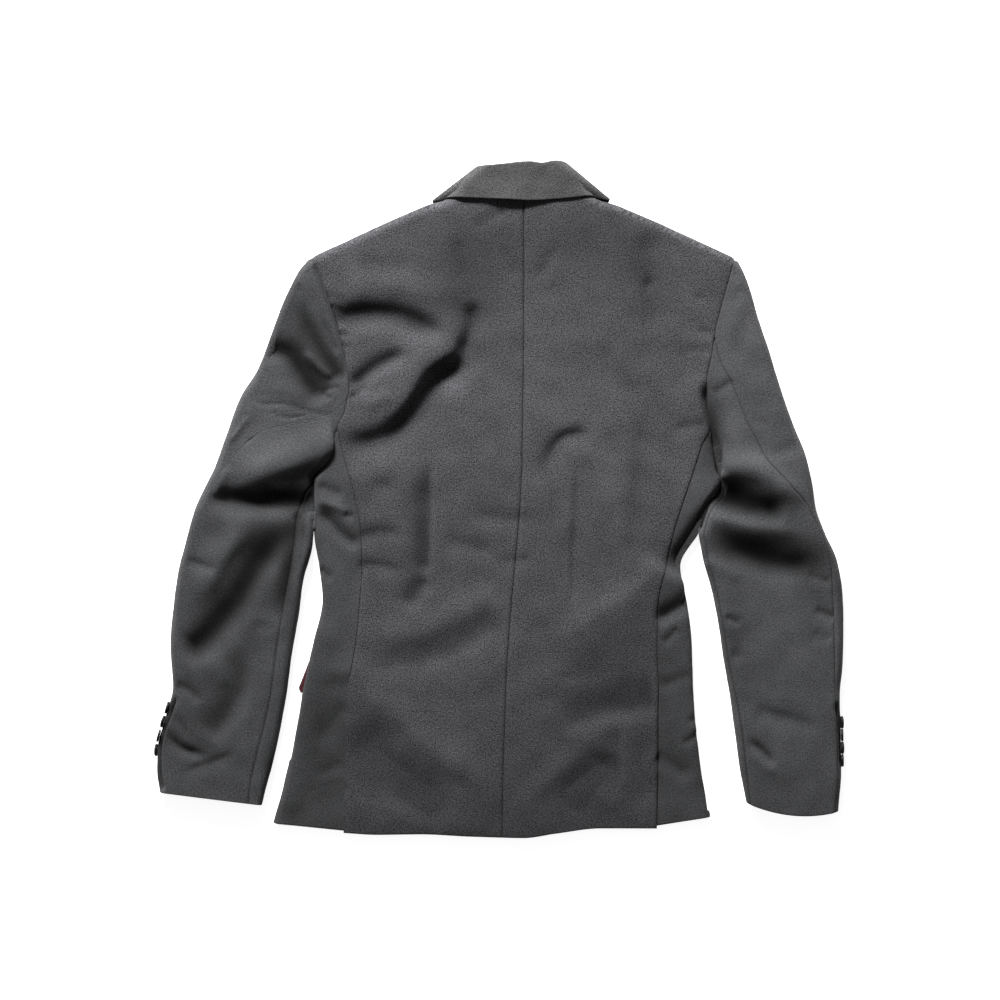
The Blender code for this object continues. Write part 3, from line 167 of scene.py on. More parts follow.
# Sleeve sections from the shoulder down: both ends of a row, the place of the two sleeve seams as a
# share of the row from its inner end, the height of the laid sleeve and the sag of the row.
SLEEVE_COLUMNS = "outer_x outer_y inner_x inner_y hind forearm height sag"
SLEEVES = {
    "left": table(SLEEVE_COLUMNS, (
        (-210.5, 263.9, -205.0, 266.2, 0.0, 0.0, 20.0, 0.0),
        (-221.5, 250.5, -199.5, 247.0, 0.0, 0.0, 21.0, 0.0),
        (-234.5, 224.0, -187.5, 215.5, 0.0, 0.0, 22.0, 0.0),
        (-245.5, 197.5, -177.5, 183.5, 0.0, 0.0, 23.0, 0.0),
        (-254.5, 171.5, -170.0, 152.5, 0.0, 0.0, 24.0, 0.0),
        (-267.0, 141.5, -166.0, 118.5, 0.0, 0.0, 24.0, 0.0),
        (-285.0, 112.0, -171.5, 95.5, 0.10, 0.0, 24.0, 0.0),
        (-297.5, 79.0, -185.0, 61.5, 0.69, 0.0, 24.0, 0.0),
        (-311.5, 39.5, -194.5, 37.0, 0.887, 0.0, 24.0, 0.0),
        (-323.5, 15.0, -204.7, 13.0, 0.95, 0.05, 23.0, 0.0),
        (-336.0, -13.5, -204.7, -22.5, 0.955, 0.145, 22.5, 0.0),
        (-344.5, -44.5, -205.5, -53.0, 0.96, 0.15, 22.0, 0.0),
        (-353.5, -79.5, -215.0, -88.5, 0.96, 0.12, 22.0, 0.0),
        (-358.5, -117.0, -220.5, -128.0, 0.96, 0.13, 21.0, 0.0),
        (-362.0, -160.0, -228.5, -174.0, 0.955, 0.125, 20.0, 0.0),
        (-359.5, -205.0, -234.0, -216.0, 0.955, 0.135, 19.0, 0.0),
        (-368.0, -241.0, -240.5, -251.0, 0.965, 0.14, 18.0, 0.0),
        (-376.0, -272.0, -247.0, -282.0, 0.963, 0.149, 17.5, 0.0),
        (-377.0, -297.5, -253.5, -307.0, 0.958, 0.15, 17.0, 0.0),
        (-373.5, -322.0, -261.0, -336.0, 0.96, 0.13, 17.0, 0.0))),
    "right": table(SLEEVE_COLUMNS, (
        (263.0, 262.2, 258.5, 264.3, 0.0, 0.0, 20.0, 0.0),
        (269.0, 250.5, 254.0, 245.0, 0.0, 0.0, 21.0, 0.0),
        (278.0, 224.0, 246.0, 216.5, 0.0, 0.0, 22.0, 0.0),
        (285.5, 197.5, 238.5, 186.5, 0.0, 0.0, 23.0, 0.0),
        (294.5, 171.5, 233.5, 156.0, 0.135, 0.0, 24.0, 0.0),
        (303.5, 141.5, 228.0, 125.0, 0.344, 0.0, 24.0, 0.0),
        (313.0, 112.0, 229.0, 97.5, 0.425, 0.0, 24.0, 0.0),
        (324.0, 81.0, 235.0, 71.0, 0.469, 0.0, 24.0, 0.0),
        (337.5, 48.0, 241.0, 46.0, 0.53, 0.0, 24.0, 0.0),
        (344.5, 16.0, 242.5, 19.5, 0.747, 0.01, 23.0, 0.0),
        (348.0, -9.0, 230.0, -9.0, 0.93, 0.035, 22.5, 0.0),
        (357.0, -33.5, 218.5, -39.0, 0.965, 0.035, 22.0, 0.0),
        (371.5, -66.5, 223.0, -62.0, 0.947, 0.035, 22.0, 0.0),
        (377.5, -99.5, 233.5, -100.5, 0.92, 0.035, 21.0, 0.0),
        (379.0, -138.0, 241.0, -138.0, 0.917, 0.035, 20.0, 0.0),
        (378.5, -176.5, 247.0, -178.5, 0.925, 0.038, 19.0, 0.0),
        (375.0, -216.0, 253.5, -217.0, 0.955, 0.055, 18.0, 0.0),
        (376.0, -253.5, 259.0, -255.5, 0.965, 0.07, 17.5, 1.0),
        (376.5, -299.5, 264.5, -297.5, 0.965, 0.066, 17.0, 4.0),
        (373.5, -343.0, 271.5, -333.5, 0.965, 0.045, 17.0, 9.0))),
}

# Front edges from the neck point down the lapel's roll line, the overlap and the rounded corner.
FRONT_EDGE = table("y left right", (
    (338.5, -47.2, 95.2), (326.5, -40.7, 88.2), (312.0, -32.7, 80.7), (250.5, -15.5, 63.5),
    (189.0, 1.0, 46.0), (106.5, 23.0, 24.0), (32.5, 42.5, 3.0), (-66.5, 36.0, -4.5),
    (-198.5, 28.5, -11.5), (-253.5, 23.0, -6.0), (-303.0, 9.5, 8.5), (-336.0, -13.5, 31.5),
    (-351.0, -43.0, 61.5)))

# The hem under the back, and the ends of the other hems.
BACK_HEM = table("x y", (
    (-171.0, -367.0), (-134.5, -369.0), (-87.5, -368.5), (-30.5, -371.0), (26.5, -372.5),
    (63.0, -367.5), (112.0, -362.0), (173.5, -362.0)))
SIDE_HEM = {"left": {"back": -364.5, "edge": -356.5, "front": -354.5},
            "right": {"back": -359.0, "edge": -349.5, "front": -350.0}}

# The collar's roll line, the free edge of its leaf, and the two sides of the flattened neck.
ROLL = table("x y", ((-26.0, 363.2), (-23.5, 364.4), (6.5, 366.9), (34.5, 368.9), (47.0, 367.7),
                     (62.5, 370.3), (73.0, 368.4), (74.5, 367.6)))
LEAF = table("x y", ((-73.0, 327.2), (-50.0, 331.0), (-0.5, 329.0), (31.0, 327.5), (76.5, 330.5),
                     (97.5, 332.5), (121.0, 328.8)))
NECK_SEAM = table("x y", ((-46.5, 340.0), (-20.0, 341.4), (27.0, 341.8), (70.0, 341.4), (94.5, 340.4)))
STAND_ROLL = table("x y", ((-25.2, 361.4), (6.5, 365.2), (34.5, 367.0), (62.5, 367.2), (73.4, 365.4)))

# Lapels: the share of the way down the roll line, and the width there.
LAPEL = table("share width", ((0.0, 36.0), (0.13, 64.0), (0.40, 58.0), (0.70, 37.0), (1.0, 11.0)))
LAPEL_TOP = 272.0
LAPEL_PEAK, PEAK_END = 10.0, 0.2      # rise of the lapel's upper corner, and the share where it ends
LAPEL_FALL = 8.0                      # drop of its free edge at the lower end
LAPEL_RISE = REST_LIFT - SEAM - CLOTH
LAPEL_END = {"left": 58.0, "right": 120.0}

# Hip pocket flaps: corners in order round the flap, from the upper one at the side seam.
FLAPS = {"left": ((-207.0, -171.0), (-221.2, -207.5), (-219.0, -212.5), (-76.0, -233.5), (-69.5, -185.0)),
         "right": ((203.0, -173.0), (207.0, -209.0), (203.5, -214.5), (84.0, -233.5), (78.0, -185.0))}

# Where the fronts lie on other pieces: over the collar ends, lapels and buttons, and over the flaps.
PADS = table("x_low x_high y_low y_high", (
    (-122.0, 185.0, -138.0, 372.0),
    (-228.0, 214.0, -245.0, -152.0)))

# Folds of the upper layers. Each row is a path over the garment, the fall-off on the left and the right of
# its direction of travel, the height (a trough where it is less than 0), how pointed the section is (2 is a
# soft swell, 1 a crease), and the shares of the path over which it fades in and out.
COLLAR_FOLDS = (
    (((-32, 356), (1, 352), (34, 354)), 8, 8, -0.5, 2, 0.4, 0.4),
    (((43, 365), (50, 352), (62, 339)), 6, 6, -0.6, 1.8, 0.3, 0.4),
    (((100, 352), (109, 343), (115, 336)), 6, 6, -0.5, 2, 0.3, 0.4),
)
BACK_FOLDS = (
    (((-191, 196), (-169, 201), (-149, 204), (-129, 204), (-109, 201), (-87, 193), (-65, 182),
      (-45, 169)), 11, 14, -7.5, 1.9, 0.15, 0.3),
    (((-181, 229), (-131, 235), (-93, 230), (-54, 216)), 16, 13, 2, 2, 0.3, 0.3),
    (((-162, 262), (-126, 257), (-93, 251)), 12, 14, -1.2, 2, 0.3, 0.3),
    (((-51, 291), (-43, 262), (-34, 231)), 11, 13, -1.4, 2, 0.3, 0.3),
    (((-37, 211), (-43, 189), (-52, 169), (-67, 156), (-85, 143), (-97, 123), (-107, 108), (-122, 95),
      (-142, 88), (-166, 83)), 12, 30, 7, 1.9, 0.2, 0.45),
    (((-28, 220), (-31, 196), (-37, 170), (-45, 152)), 9, 11, -6.2, 1.8, 0.3, 0.3),
    (((-29, 176), (-34, 157), (-48, 143), (-64, 133), (-76, 120), (-87, 103), (-100, 86), (-119, 71),
      (-147, 62), (-177, 59)), 14, 12, -7.3, 1.9, 0.2, 0.18),
    (((-92, 160), (-105, 158), (-118, 154), (-137, 144), (-153, 131),
      (-165, 121)), 8, 9, -5.7, 1.9, 0.3, 0.15),
    (((-114, 119), (-131, 110), (-151, 101)), 8, 8, 1.8, 2, 0.3, 0.3),
    (((-143, 127), (-164, 111)), 4, 3.5, -2.3, 1.5, 0.3, 0.1),
    (((-186, 213), (-170, 205)), 4, 4, -2, 1.6, 0.1, 0.5),
    (((-188, 196), (-172, 188)), 3.5, 3.5, -1.7, 1.6, 0.1, 0.4),
    (((-204, 264), (-195, 234), (-185, 207), (-176, 179), (-171, 157), (-170, 135),
      (-175, 122)), 2.2, 2.2, -2, 1.6, 0.1, 0.1),
    (((-178, 183), (-161, 176)), 3.5, 3.5, -2.2, 1.5, 0.1, 0.5),
    (((-174, 171), (-160, 165)), 3, 3, -2.1, 1.5, 0.1, 0.5),
    (((-180, 191), (-164, 186)), 3, 3, 1.4, 2, 0.3, 0.4),
    (((-175, 163), (-160, 157)), 4, 4, -1.2, 1.6, 0.2, 0.4),
    (((-191, 224), (-164, 215)), 5, 5, -1.4, 1.6, 0.1, 0.5),
    (((-76, 46), (-77, 22), (-77, -11), (-78, -50), (-79, -90)), 3.5, 15, -5.5, 1.7, 0.3, 0.15),
    (((-78, -79), (-89, -101), (-105, -123)), 9, 12, -4.3, 1.9, 0.35, 0.3),
    (((-48, -13), (-10, -21), (28, -22), (55, -23)), 9, 9, -1.5, 1.8, 0.4, 0.3),
    (((-65, -44), (-32, -51), (-2, -59)), 9, 10, -1.7, 1.8, 0.3, 0.3),
    (((-1, -66), (21, -67), (40, -62)), 5, 7, -1.1, 1.8, 0.3, 0.3),
    (((-147, 13), (-114, 15)), 9, 9, -1.5, 2, 0.3, 0.3),
    (((-155, -41), (-126, -35), (-98, -45)), 7, 9, -2.1, 1.7, 0.1, 0.5),
    (((-158, -73), (-129, -73), (-94, -85)), 6, 9, -2, 1.7, 0.1, 0.5),
    (((14, -128), (-21, -145), (-54, -164), (-93, -176), (-155, -188)), 14, 24, -4.3, 2, 0.2, 0.4),
    (((-148, -139), (-98, -148), (-54, -132), (-2, -108)), 17, 14, 2, 2, 0.3, 0.3),
    (((45, 14), (55, 47), (66, 64), (82, 71), (106, 69)), 8, 15, -4.7, 1.7, 0.45, 0.25),
    (((87, 55), (83, -22), (81, -66), (80, -123)), 9, 3.5, -1.7, 1.6, 0.4, 0.15),
    (((62, 24), (59, -22), (58, -66)), 9, 7, -1.1, 1.9, 0.3, 0.4),
    (((111, 33), (109, -22), (106, -77)), 10, 8, 0.9, 2, 0.3, 0.4),
    (((158, 110), (156, 55), (150, -11), (143, -68)), 14, 9, -1.7, 1.9, 0.3, 0.3),
    (((111, 178), (131, 136), (155, 108)), 9, 12, -1.8, 1.9, 0.3, 0.3),
    (((155, 299), (164, 262), (168, 220), (171, 181)), 9, 12, -2.2, 1.9, 0.25, 0.3),
    (((157, 237), (170, 236)), 5, 7, -1.7, 1.8, 0.35, 0.35),
    (((227, 82), (208, 81), (183, 73)), 7, 6, -1.5, 1.7, 0.1, 0.5),
    (((227, 220), (210, 222)), 4, 5, -1, 1.8, 0.1, 0.5),
    (((234, 182), (216, 185)), 4, 5, -1.1, 1.8, 0.1, 0.5),
    (((234, 163), (210, 163), (186, 152)), 6, 7, -1, 1.9, 0.1, 0.5),
    (((54, -110), (111, -99), (155, -66)), 20, 22, 1, 2, 0.3, 0.3),
    (((181, -66), (155, -99), (111, -128), (54, -167)), 42, 17, 5.5, 2, 0.1, 0.3),
    (((177, -222), (116, -233), (58, -251)), 12, 26, -4.7, 2, 0.1, 0.3),
    (((67, -184), (100, -193), (45, -196)), 8, 8, -0.6, 2, 0.3, 0.3),
    (((-30, 295), (-12, 306), (7, 318)), 8, 8, -1.5, 2, 0.3, 0.1),
    (((1, 281), (13, 257), (23, 238)), 7, 6, -1.2, 1.9, 0.3, 0.3),
    (((38, 238), (54, 262), (64, 281)), 6, 7, -1, 1.9, 0.3, 0.3),
    (((-169, -238), (-140, -275), (-100, -313), (-41, -350)), 24, 30, -4.5, 2, 0.25, 0.3),
    (((-162, -194), (-109, -242), (-54, -291), (10, -326)), 18, 14, 2.4, 2, 0.2, 0.3),
    (((131, -236), (131, -286), (128, -334)), 5, 14, -2, 1.8, 0.3, 0.3),
    (((124, -273), (102, -308), (67, -346)), 15, 22, -4.3, 2, 0.25, 0.3),
    (((23, -339), (67, -297), (115, -250)), 13, 11, 1.7, 2, 0.3, 0.3),
    (((171, -259), (155, -297), (160, -347)), 12, 12, -0.9, 2, 0.3, 0.3),
    (((-140, -319), (-109, -343), (-65, -365)), 12, 12, 0.9, 2, 0.3, 0.3),
    (((227, 132), (227, 110), (235, 77), (242, 46), (246, 24)), 4.5, 4.5, -7.2, 1.8, 0.2, 0.1),
)
SIDE_FOLDS = (
    (((-204, 17), (-186, 10), (-169, 3)), 6, 6, -2.3, 1.8, 0.3, 0.3),
    (((-202, 0), (-177, -9), (-160, -17)), 5, 5, 2, 1.8, 0.2, 0.3),
    (((-204, -9), (-188, -23), (-170, -41), (-152, -54)), 8, 7, -4.9, 1.8, 0.3, 0.2),
    (((-171, -15), (-159, -20)), 3.5, 4, -1.7, 1.6, 0.2, 0.3),
    (((-197, -76), (-183, -89)), 4, 5, -1.8, 1.5, 0.1, 0.3),
    (((-186, -66), (-177, -110), (-184, -165)), 8, 8, 0.8, 2, 0.3, 0.3),
    (((-167, -218), (-183, -247), (-202, -272)), 12, 10, -2.1, 1.8, 0.3, 0.3),
    (((-167, -316), (-191, -324), (-216, -339)), 8, 6, -2.4, 1.7, 0.05, 0.3),
    (((-170, -288), (-191, -299), (-206, -306)), 6, 6, -1, 1.8, 0.2, 0.4),
    (((216, -108), (197, -119), (179, -129), (166, -132)), 8, 11, -6.5, 1.7, 0.03, 0.3),
    (((197, -140), (189, -150), (179, -160)), 5, 5, -2.1, 1.6, 0.2, 0.25),
    (((212, -192), (194, -198), (175, -210)), 7, 6, -1.2, 1.8, 0.1, 0.4),
    (((219, -239), (207, -246)), 4, 4, -1.8, 1.6, 0.1, 0.4),
    (((219, -257), (210, -264), (199, -271)), 5, 4, -2, 1.6, 0.1, 0.4),
    (((171, -282), (192, -294), (214, -308)), 8, 9, -2.4, 1.8, 0.1, 0.35),
    (((254, -2), (230, -21), (208, -51), (189, -85)), 15, 11, -9.8, 1.9, 0.05, 0.25),
)
LEFT_SLEEVE_FOLDS = (
    (((-257, 163), (-240, 161), (-228, 153), (-218, 139), (-209, 126), (-200, 114),
      (-191, 104)), 14, 8, -9.1, 1.8, 0.03, 0.2),
    (((-219, 220), (-213, 198), (-202, 174), (-188, 150), (-174, 127)), 8, 9, -7.8, 1.9, 0.35, 0.12),
    (((-215, 165), (-197, 145), (-180, 133)), 5, 5, 4.4, 1.8, 0.3, 0.2),
    (((-197, 207), (-186, 180), (-176, 158)), 4, 4, -2.3, 1.7, 0.45, 0.2),
    (((-199, 112), (-188, 121), (-175, 125)), 3.5, 3.5, -2.1, 1.6, 0.4, 0.1),
    (((-205, 262), (-196, 233), (-186, 205), (-177, 178), (-172, 156), (-171, 134),
      (-176, 121)), 2.2, 2.2, -2, 1.6, 0.1, 0.1),
    (((-197, 117), (-183, 110)), 3, 3, -2.2, 1.5, 0.3, 0.2),
    (((-261, 119), (-230, 119), (-210, 105)), 9, 9, 1.4, 2, 0.4, 0.3),
    (((-230, 233), (-213, 230)), 4, 4, -0.9, 1.6, 0.1, 0.4),
    (((-279, 88), (-269, 97), (-261, 112)), 9, 9, 1, 2, 0.3, 0.3),
    (((-297, 62), (-285, 77), (-274, 94)), 3.5, 4, 1.8, 1.8, 0.25, 0.25),
    (((-316, 1), (-305, 20), (-293, 38)), 5, 6, 1.8, 1.8, 0.2, 0.3),
    (((-305, 15), (-276, 25), (-250, 35), (-221, 46), (-197, 55), (-177, 61)), 24, 17, 8.6, 2, 0.35, 0.05),
    (((-323, 2), (-298, -1), (-265, -4), (-230, -5), (-199, -8)), 12, 12, -8.3, 1.9, 0.2, 0.02),
    (((-215, -16), (-232, -35), (-250, -56), (-265, -77), (-277, -97), (-287, -115), (-301, -132),
      (-317, -150), (-334, -165), (-349, -174)), 13, 17, -11.7, 1.9, 0.3, 0.1),
    (((-261, -24), (-283, -40), (-301, -62), (-315, -88), (-328, -117)), 10, 14, 4.9, 2, 0.3, 0.3),
    (((-250, -66), (-261, -94), (-270, -123)), 10, 12, 1.5, 2, 0.3, 0.3),
    (((-219, -9), (-225, -50), (-232, -88), (-238, -121), (-242, -145)), 5, 9, -7, 1.7, 0.1, 0.3),
    (((-213, -22), (-217, -53), (-222, -83)), 3.5, 3.5, -1.7, 1.6, 0.2, 0.3),
    (((-248, -145), (-261, -139), (-276, -141)), 6, 5, -1.2, 1.8, 0.2, 0.4),
    (((-277, -134), (-281, -174), (-286, -209), (-299, -236), (-321, -265)), 11, 15, -5.5, 1.9, 0.55, 0.12),
    (((-358, -203), (-341, -209), (-325, -224)), 5, 6, -2.2, 1.7, 0.2, 0.3),
    (((-361, -233), (-348, -249), (-342, -265)), 3, 3.5, -1.4, 1.8, 0.4, 0.3),
    (((-369, -249), (-356, -268), (-340, -277), (-315, -283)), 5.5, 6, -4.3, 1.8, 0.35, 0.4),
    (((-351, -301), (-329, -293), (-307, -285), (-285, -275)), 5, 8, -2.1, 1.7, 0.3, 0.35),
    (((-345, -66), (-326, -72), (-307, -78)), 5, 7, -2.4, 1.7, 0.2, 0.3),
    (((-329, -171), (-313, -185), (-301, -209)), 9, 9, 1, 2, 0.3, 0.3),
    (((-274, -220), (-279, -259), (-287, -297)), 9, 9, 0.9, 2, 0.3, 0.3),
    (((-354, -214), (-362, -233), (-370, -251), (-374, -270), (-374, -292),
      (-370, -321)), 3, 2.6, -4.4, 1.8, 0.1, 0.05),
    (((-274, 113), (-261, 105), (-246, 105), (-230, 104), (-214, 98), (-195, 94),
      (-177, 90)), 1.7, 1.7, -1.1, 1.8, 0.15, 0.2),
    (((-253, 100), (-243, 93), (-227, 90), (-210, 93)), 1.6, 1.6, -1, 1.8, 0.2, 0.2),
    (((-268, 69), (-279, 61)), 1.6, 1.6, -0.9, 1.8, 0.3, 0.3),
)
RIGHT_SLEEVE_FOLDS = (
    (((236, 33), (267, 35), (296, 24), (320, 6), (335, -9)), 15, 15, 7, 2, 0.1, 0.3),
    (((227, 13), (245, 6), (263, 0), (284, -9), (318, -20)), 14, 12, -9.1, 1.9, 0.05, 0.25),
    (((225, -18), (247, -23), (270, -29), (296, -33), (322, -37), (348, -41)), 8, 13, 4.7, 1.9, 0.1, 0.5),
    (((225, -33), (241, -45), (260, -57), (280, -66), (302, -72), (324, -74), (346, -74),
      (368, -71)), 16, 14, -9.1, 1.9, 0.3, 0.3),
    (((225, -68), (245, -75), (267, -90)), 8, 8, 1.8, 2, 0.1, 0.3),
    (((247, -128), (266, -137)), 4, 4, -2.4, 1.6, 0.25, 0.3),
    (((337, -81), (364, -92)), 5, 5, -2.2, 1.6, 0.25, 0.15),
    (((345, -120), (368, -130)), 4, 5, -2.4, 1.6, 0.3, 0.1),
    (((342, -145), (364, -156)), 6, 7, -1.2, 1.8, 0.3, 0.2),
    (((271, -260), (287, -275), (304, -293)), 4.5, 4.5, -4.3, 1.8, 0.45, 0.3),
    (((274, -273), (289, -291), (309, -303)), 5, 5, 1, 2, 0.3, 0.3),
    (((279, -229), (303, -237), (331, -244), (362, -257)), 7, 11, -2, 1.8, 0.15, 0.35),
    (((254, -171), (270, -171)), 6, 7, -1.2, 1.8, 0.1, 0.5),
    (((260, 133), (247, 124), (233, 116)), 6, 5, -1.7, 1.7, 0.3, 0.2),
    (((274, 90), (300, 81)), 6, 7, -0.9, 1.8, 0.3, 0.3),
    (((334, 64), (315, 55), (291, 49)), 8, 9, -1.4, 1.9, 0.3, 0.4),
    (((274, 220), (265, 181), (256, 145)), 9, 9, -1.2, 1.9, 0.3, 0.3),
    (((266, 236), (257, 211)), 6, 6, -1, 1.8, 0.3, 0.4),
    (((287, 154), (307, 110), (315, 77)), 14, 14, 1.2, 2, 0.3, 0.3),
    (((227, 132), (227, 110), (235, 77), (242, 46), (246, 24)), 4.5, 4.5, -7.2, 1.8, 0.2, 0.1),
    (((369, -220), (373, -235), (376, -244), (378, -259), (378, -293)), 2.6, 2.6, -4.4, 1.8, 0.15, 0.1),
)

# Painted shade and light: soft oval places where the cloth is drawn darker, as in the shadow of a fold, and
# paler, where more light falls on it. Each row is x, y, the reach along x, the reach along y, and the share
# of the cloth's own shade.
BODY_PAINTED_SHADING = (
    (-208, 247, 40, 60, 0.84), (259, 236, 40, 60, 0.87), (34, 286, 125, 36, 0.77), (-32, 262, 42, 42, 0.8),
    (-41, 209, 30, 34, 0.66), (-109, 262, 50, 26, 0.87), (160, 231, 26, 60, 0.74), (-137, 154, 28, 10, 0.8),
    (-133, 211, 30, 8, 0.7), (-83, 193, 22, 9, 0.8), (-87, 104, 26, 16, 0.75), (50, 66, 60, 75, 1.14),
    (-109, 40, 75, 14, 1.2), (-76, -266, 55, 18, 1.18), (194, 11, 26, 40, 1.18), (-144, -37, 18, 8, 0.72),
    (-86, -44, 9, 55, 0.7), (182, -220, 50, 120, 0.85), (-10, -376, 290, 24, 0.64),
    (100, -334, 50, 26, 0.8), (-43, -209, 60, 80, 1.1), (235, 82, 10, 42, 0.5), (-195, -248, 26, 90, 0.76),
    (221, 0, 16, 26, 1.25), (-63, 147, 18, 12, 0.7), (-153, 207, 40, 11, 0.66), (-87, 200, 22, 12, 0.8),
    (-68, 147, 20, 11, 0.7), (-162, 73, 26, 8, 0.75), (-175, 126, 18, 15, 0.7), (-140, 152, 26, 12, 0.85),
    (111, 313, 60, 22, 0.86), (122, 275, 40, 30, 0.9), (-32, 220, 40, 26, 0.88), (-49, 134, 20, 26, 1.15),
    (45, 262, 170, 50, 0.86), (-30, -108, 42, 24, 1.3), (6, -154, 20, 20, 1.1), (-49, 119, 18, 30, 1.12),
    (-94, -150, 30, 20, 1.2), (124, 24, 20, 34, 1.28), (78, 79, 20, 11, 1.25),
    (205, 123, 22, 20, 1.18), (-76, 46, 30, 13, 1.18), (-147, 3, 18, 12, 0.75), (23, -343, 70, 14, 0.85),
    (-191, -295, 18, 22, 0.85), (-228, -343, 20, 14, 0.8), (80, -303, 20, 14, 1.15),
    (-54, -303, 20, 14, 1.12),
)
COLLAR_PAINTED_SHADING = (
    (50, 341, 200, 30, 0.83),
)
LEFT_SLEEVE_PAINTED_SHADING = (
    (-236, 214, 55, 70, 0.62), (-206, 152, 26, 44, 0.62), (-184, 143, 14, 18, 0.5),
    (-238, 167, 16, 10, 0.62), (-222, 149, 13, 12, 0.6), (-207, 126, 13, 13, 0.6), (-247, 49, 60, 22, 1.22),
    (-285, 6, 18, 7, 0.5), (-254, 7, 20, 8, 0.4), (-224, 11, 22, 13, 0.3), (-197, 20, 13, 17, 0.35),
    (-261, -50, 26, 22, 0.42), (-228, -13, 14, 9, 1.2), (-274, -31, 20, 12, 0.7), (-277, -90, 36, 34, 0.66),
    (-316, -127, 28, 30, 0.68), (-324, -226, 45, 80, 0.78), (-232, -88, 10, 60, 0.6),
    (-216, -28, 7, 22, 0.55), (-250, -295, 9, 36, 0.45), (-224, 6, 30, 13, 0.3), (-202, 24, 14, 14, 0.6),
    (-268, 0, 20, 9, 0.6), (-193, 6, 16, 14, 0.42), (-314, -31, 20, 14, 0.7), (-272, -148, 14, 24, 0.72),
    (-296, 49, 26, 16, 0.85), (-340, -266, 30, 18, 0.8), (-362, -229, 5, 11, 0.3),
    (-369, -247, 5, 11, 0.25), (-374, -265, 5, 12, 0.25), (-376, -297, 4, 24, 0.5),
)
RIGHT_SLEEVE_PAINTED_SHADING = (
    (314, 49, 50, 22, 1.25), (257, 81, 13, 16, 1.5), (320, -176, 60, 90, 1.14), (235, 82, 10, 42, 0.5),
    (252, 5, 20, 13, 0.24), (278, -4, 20, 12, 0.4), (302, -13, 12, 10, 0.6), (265, -48, 24, 14, 0.55),
    (303, -50, 30, 18, 0.5), (344, -64, 26, 26, 0.62), (260, 13, 22, 15, 0.35), (257, 6, 24, 15, 0.3),
    (287, -4, 26, 12, 0.45), (276, -50, 44, 15, 0.5), (303, -68, 40, 16, 0.7), (221, 44, 12, 14, 0.8),
    (300, -40, 32, 16, 0.7), (344, -97, 24, 26, 0.78), (258, -154, 12, 32, 0.75), (376, -248, 4, 12, 0.4),
    (378, -273, 4, 20, 0.4),
)

# Reading the tables.

def glide(knots, values, at):
    """Smooth curve through a table's points that never overshoots them, held flat past both ends:
    cubic pieces whose slopes are the harmonic mean of the two chords' slopes, or 0 at a turn."""
    if knots[0] > knots[-1]:
        knots, values = knots[::-1], values[::-1]
    gaps = np.diff(knots)
    steps = np.diff(values) / gaps
    same_way = steps[:-1] * steps[1:] > 0.0
    total = np.where(same_way, steps[:-1] + steps[1:], 1.0)
    inside = np.where(same_way, 2.0 * steps[:-1] * steps[1:] / total, 0.0)
    slopes = np.concatenate((steps[:1], inside, steps[-1:]))
    at = np.clip(at, knots[0], knots[-1])
    cell = np.clip(np.searchsorted(knots, at, side="right") - 1, 0, len(gaps) - 1)
    part = (at - knots[cell]) / gaps[cell]
    start, end = values[cell], values[cell + 1]
    rest = 1.0 - part
    pull = gaps[cell] * (slopes[cell] * part * rest ** 2 - slopes[cell + 1] * part ** 2 * rest)
    return start + (end - start) * part ** 2 * (3.0 - 2.0 * part) + pull


def body(column, y):
    """A named size of the body at y."""
    return glide(BODY["y"], BODY[column], y)


def ease(value):
    """0 to 1 with flat ends."""
    value = np.clip(value, 0.0, 1.0)
    return value * value * (3.0 - 2.0 * value)


def mix(start, end, share):
    """From start to end by a share."""
    return start + (end - start) * share


def bow(distance, width):
    """Profile of a folded edge: a quarter ellipse, 0 and upright at the outline, 1 and level inwards."""
    part = 1.0 - np.clip(distance / width, 0.0, 1.0)
    return np.sqrt(np.clip(1.0 - part * part, 0.0, 1.0))


def slope_of(curve, at, step=0.5):
    """Slope of a curve, from a short chord."""
    return (curve(at + step) - curve(at - step)) / (2.0 * step)


def pair(x, y):
    """Points in plan."""
    x, y = np.broadcast_arrays(x, y)
    return np.stack((x, y), axis=-1)


# Heights of the two layers.

def lift(x, y):
    """Lift of the lower panels over the collar ends, lapels, flaps and front buttons."""
    share = np.zeros(np.broadcast(x, y).shape)
    for low_x, high_x, low_y, high_y in zip(*PADS.values()):
        along_x = ease((x - low_x) / RAMP + 1.0) * ease((high_x - x) / RAMP + 1.0)
        along_y = ease((y - low_y) / RAMP + 1.0) * ease((high_y - y) / RAMP + 1.0)
        share = np.maximum(share, along_x * along_y)
    return REST_LIFT * share


def body_height(side, x, y):
    """Height of the body's upper layer, away from its edges."""
    reach = body(side + "_edge", y) - body("centre", y)
    share = np.clip(np.abs((x - body("centre", y)) / reach), 0.0, 1.0)
    return mix(body("mid", y), body("side", y), share ** 2)


def top_edge(x):
    """y of the body's upper outline."""
    return glide(TOP_EDGE["x"], TOP_EDGE["y"], x)


def outer_edge(side, y):
    """x of a sleeve's outer outline."""
    return glide(SLEEVES[side]["outer_y"], SLEEVES[side]["outer_x"], y)


def inner_edge(side, y):
    """x of a sleeve's inner end: the armhole seam, and below the armpit its inner outline."""
    rows = SLEEVES[side]["inner_y"] < TOUCH_END - 5.0
    knots = np.concatenate(([TOUCH_END], SLEEVES[side]["inner_y"][rows]))
    places = np.concatenate((body(side + "_edge", np.array([TOUCH_END])), SLEEVES[side]["inner_x"][rows]))
    return np.where(y > TOUCH_END, body(side + "_edge", y), glide(knots, places, y))


def outline(side, y):
    """x of the body panels' own outline, half a seam inside the line they share with the sleeve."""
    return body(side + "_edge", y) - SIDES[side] * SEAM / 2.0


def side_line(side, y):
    """x of the body's outline, carried straight up past the armpit."""
    return outline(side, np.minimum(y, ARMPIT))


